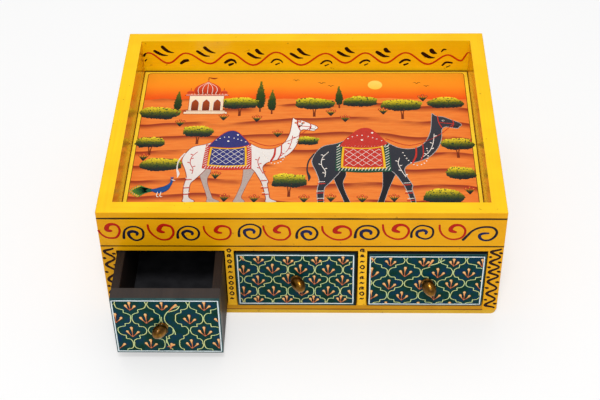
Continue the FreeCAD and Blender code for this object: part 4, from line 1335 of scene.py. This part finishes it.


# THE KNOBS
# Each front has a small turned brass knob: a foot, a short neck and an egg-shaped head, long since gone brown,
# with painted shade darker on top and painted light brighter below. A screw and a washer hold it from inside.

KNOB_PROFILE = (
    (0.0, 0.0), (0.0, 0.0), (0.0, 4.2), (0.0, 4.2), (0.4, 4.4), (0.85, 4.35), (1.1, 4.0), (1.3, 3.8), (1.6, 3.9),
    (2.1, 4.5), (3.1, 5.15), (4.4, 5.4), (5.8, 5.25), (7.4, 4.75), (8.8, 4.0), (9.9, 3.0), (10.7, 1.7), (11.0, 0.0),
)
KNOB_FEET = {"left": (1.2, -0.9), "middle": (-1.8, -0.8), "right": (-0.9, -0.3)}
KNOB_LEANS = {"left": (-0.34, 0.0), "middle": (0.36, -0.17), "right": (0.29, -0.28)}
KNOB_FACETS, KNOB_STEPS = 56, 3
LIGHT_FADE_RADIUS = 3.0


def aged_brass():
    """Brass under brown tarnish, darker on top and brighter below by the mesh's shade: painted shade and light."""
    material, tree, shader = new_finish("aged_brass", 0.34, 1.0)
    cloud = noise(tree, stretched(tree, (1, 1, 1)), 240.0, 5.0, 0.65)
    # Painted light and shade: the shade attribute darkens the top and brightens the underside.
    underside_light = node(tree, "ShaderNodeAttribute", attribute_name="shade").outputs["Fac"]
    factor = calc(tree, "ADD", calc(tree, "MULTIPLY", underside_light, 0.18), calc(tree, "MULTIPLY", cloud, 0.8))
    tint = graded(tree, factor, [(0.3, rgb(82, 52, 12)), (0.5, rgb(128, 86, 18)), (0.72, rgb(186, 132, 30))])
    tree.links.new(tint, shader.inputs["Base Color"])
    dull = answer(tree, "ShaderNodeMapRange", {0: cloud, 1: 0.35, 2: 0.65, 3: 0.42, 4: 0.24})
    tree.links.new(dull, shader.inputs["Roughness"])
    shader.inputs["Coat Weight"].default_value = 0.25
    shader.inputs["Coat Roughness"].default_value = 0.08
    emboss(tree, shader, noise(tree, stretched(tree, (1, 1, 1)), 1400.0, 3.0), 0.00006)
    return material


def turned(name, profile, facets, lean):
    """A lathe-turned solid standing on a face: profile points are (height, radius), lean its drift (u, v).

    Its shade runs from 0 on top to 1 underneath.
    """
    bm = bmesh.new()
    shade = bm.verts.layers.float.new("shade")
    rings = []
    for height, radius in profile:
        spots = facets if radius > 1e-4 else 1
        ring = []
        for spot in range(spots):
            angle = math.tau * spot / spots
            across = lean[0] * height + radius * math.cos(angle)
            up = lean[1] * height + radius * math.sin(angle)
            vert = bm.verts.new((across, up, height))
            # The shade for the painted light: 0 on top, 1 underneath, weaker near the axis.
            vert[shade] = 0.5 - 0.5 * math.sin(angle) * min(1.0, radius / LIGHT_FADE_RADIUS)
            ring.append(vert)
        rings.append(ring)
    for here, there in zip(rings, rings[1:]):
        for spot in range(facets):
            after = (spot + 1) % facets
            corners = [here[spot % len(here)], here[after % len(here)],
                       there[after % len(there)], there[spot % len(there)]]
            bm.faces.new(list(dict.fromkeys(corners)))
    bmesh.ops.recalc_face_normals(bm, faces=bm.faces)
    for face in bm.faces:
        face.smooth = True
    mesh = bpy.data.meshes.new(name)
    bm.to_mesh(mesh)
    bm.free()
    return mesh


brass = aged_brass()
smooth_profile = [[max(part, 0.0) for part in spot] for spot in flow(KNOB_PROFILE, KNOB_STEPS)]
for drawer in DRAWERS:
    low, high = (Vector(corner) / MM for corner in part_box(f"{drawer}_drawer_knob"))
    mesh = turned(f"{drawer}_turned_knob", smooth_profile, KNOB_FACETS, KNOB_LEANS[drawer])
    face_out = -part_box(f"{drawer}_drawer_front")[0].y / MM
    across, up = KNOB_FEET[drawer]
    mesh.transform(on_face("front", (low.x + high.x) / 2 + across, (low.z + high.z) / 2 + up, face_out))
    knob = piece(f"{drawer}_turned_knob", mesh, f"{drawer}_drawer", brass)
    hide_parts(f"{drawer}_drawer_knob")


# THE FLOOR AND THE LIGHT
# The box stands on a plain white sheet, under a broad soft lamp overhead, two from the front and an even
# white surround. The floor is lightened where the eye sees it, so that it stays nearly white.

FLOOR_SIZE, FLOOR_BACK, FLOOR_WHITE = 6.0, 0.5, 0.92
AIMED_AT = Vector((0, 0, 0.05))
LAMPS = (
    ("overhead", (-0.1, 0.55, 1.7), 1.3, 7.0),
    ("front", (0.0, -1.55, 1.3), 1.2, 5.0),
    ("key", (0.0, -0.92, 1.77), 0.35, 14.0),
)
SURROUND = 0.5
FLOOR_WHITENING = 0.52


def studio():
    """The floor, the lamps and the surround. A lamp is its name, place, width and power."""
    bpy.ops.mesh.primitive_plane_add(size=FLOOR_SIZE, location=(0, FLOOR_BACK, 0))
    floor = bpy.context.object
    floor.name = "studio_floor"
    material, tree, shader = new_finish("studio_white", 0.9)
    shader.inputs["Base Color"].default_value = (FLOOR_WHITE, FLOOR_WHITE, FLOOR_WHITE, 1)
    path = node(tree, "ShaderNodeLightPath").outputs
    bounced = calc(tree, "MAXIMUM", path["Is Glossy Ray"], path["Is Transmission Ray"])
    seen = calc(tree, "MAXIMUM", path["Is Camera Ray"], bounced)
    glow = answer(tree, "ShaderNodeEmission", {"Color": (1, 1, 1, 1), "Strength": 1.0})
    lightened = answer(tree, "ShaderNodeMixShader", {0: FLOOR_WHITENING, 1: shader.outputs[0], 2: glow})
    shown = answer(tree, "ShaderNodeMixShader", {0: seen, 1: shader.outputs[0], 2: lightened})
    tree.links.new(shown, tree.nodes["Material Output"].inputs["Surface"])
    floor.data.materials.append(material)
    for name, place, size, power in LAMPS:
        lamp = bpy.data.lights.new(name, "AREA")
        lamp.shape = "DISK"
        lamp.size = size
        lamp.energy = power
        holder = bpy.data.objects.new(name, lamp)
        holder.location = place
        holder.rotation_euler = (AIMED_AT - holder.location).to_track_quat("-Z", "Y").to_euler()
        bpy.context.collection.objects.link(holder)
    world = bpy.data.worlds.new("white_surround")
    world.use_nodes = True
    backdrop = world.node_tree.nodes["Background"]
    backdrop.inputs["Color"].default_value = (1, 1, 1, 1)
    backdrop.inputs["Strength"].default_value = SURROUND
    bpy.context.scene.world = world
    bpy.context.scene.view_settings.view_transform = "Standard"


studio()


# THE CAMERA
# It stands in front of the box and a little to its right, well above it, and looks down on the open
# tray and the three fronts. Its angles are in degrees.

CAMERA_AT = (0.0219, -0.8213, 0.7640)
LOOK_DOWN, LOOK_LEFT, TILT = 42.2822, 1.8096, -1.1430
LENS, SENSOR = 78.6, 36.0

lens = bpy.data.cameras.new("camera")
lens.lens = LENS
lens.sensor_width = SENSOR
camera = bpy.data.objects.new("camera", lens)
aim = Matrix.Rotation(math.radians(LOOK_LEFT), 4, "Z") @ Matrix.Rotation(math.radians(90 - LOOK_DOWN), 4, "X")
camera.matrix_world = Matrix.Translation(CAMERA_AT) @ aim @ Matrix.Rotation(math.radians(TILT), 4, "Z")
bpy.context.collection.objects.link(camera)
bpy.context.scene.camera = camera
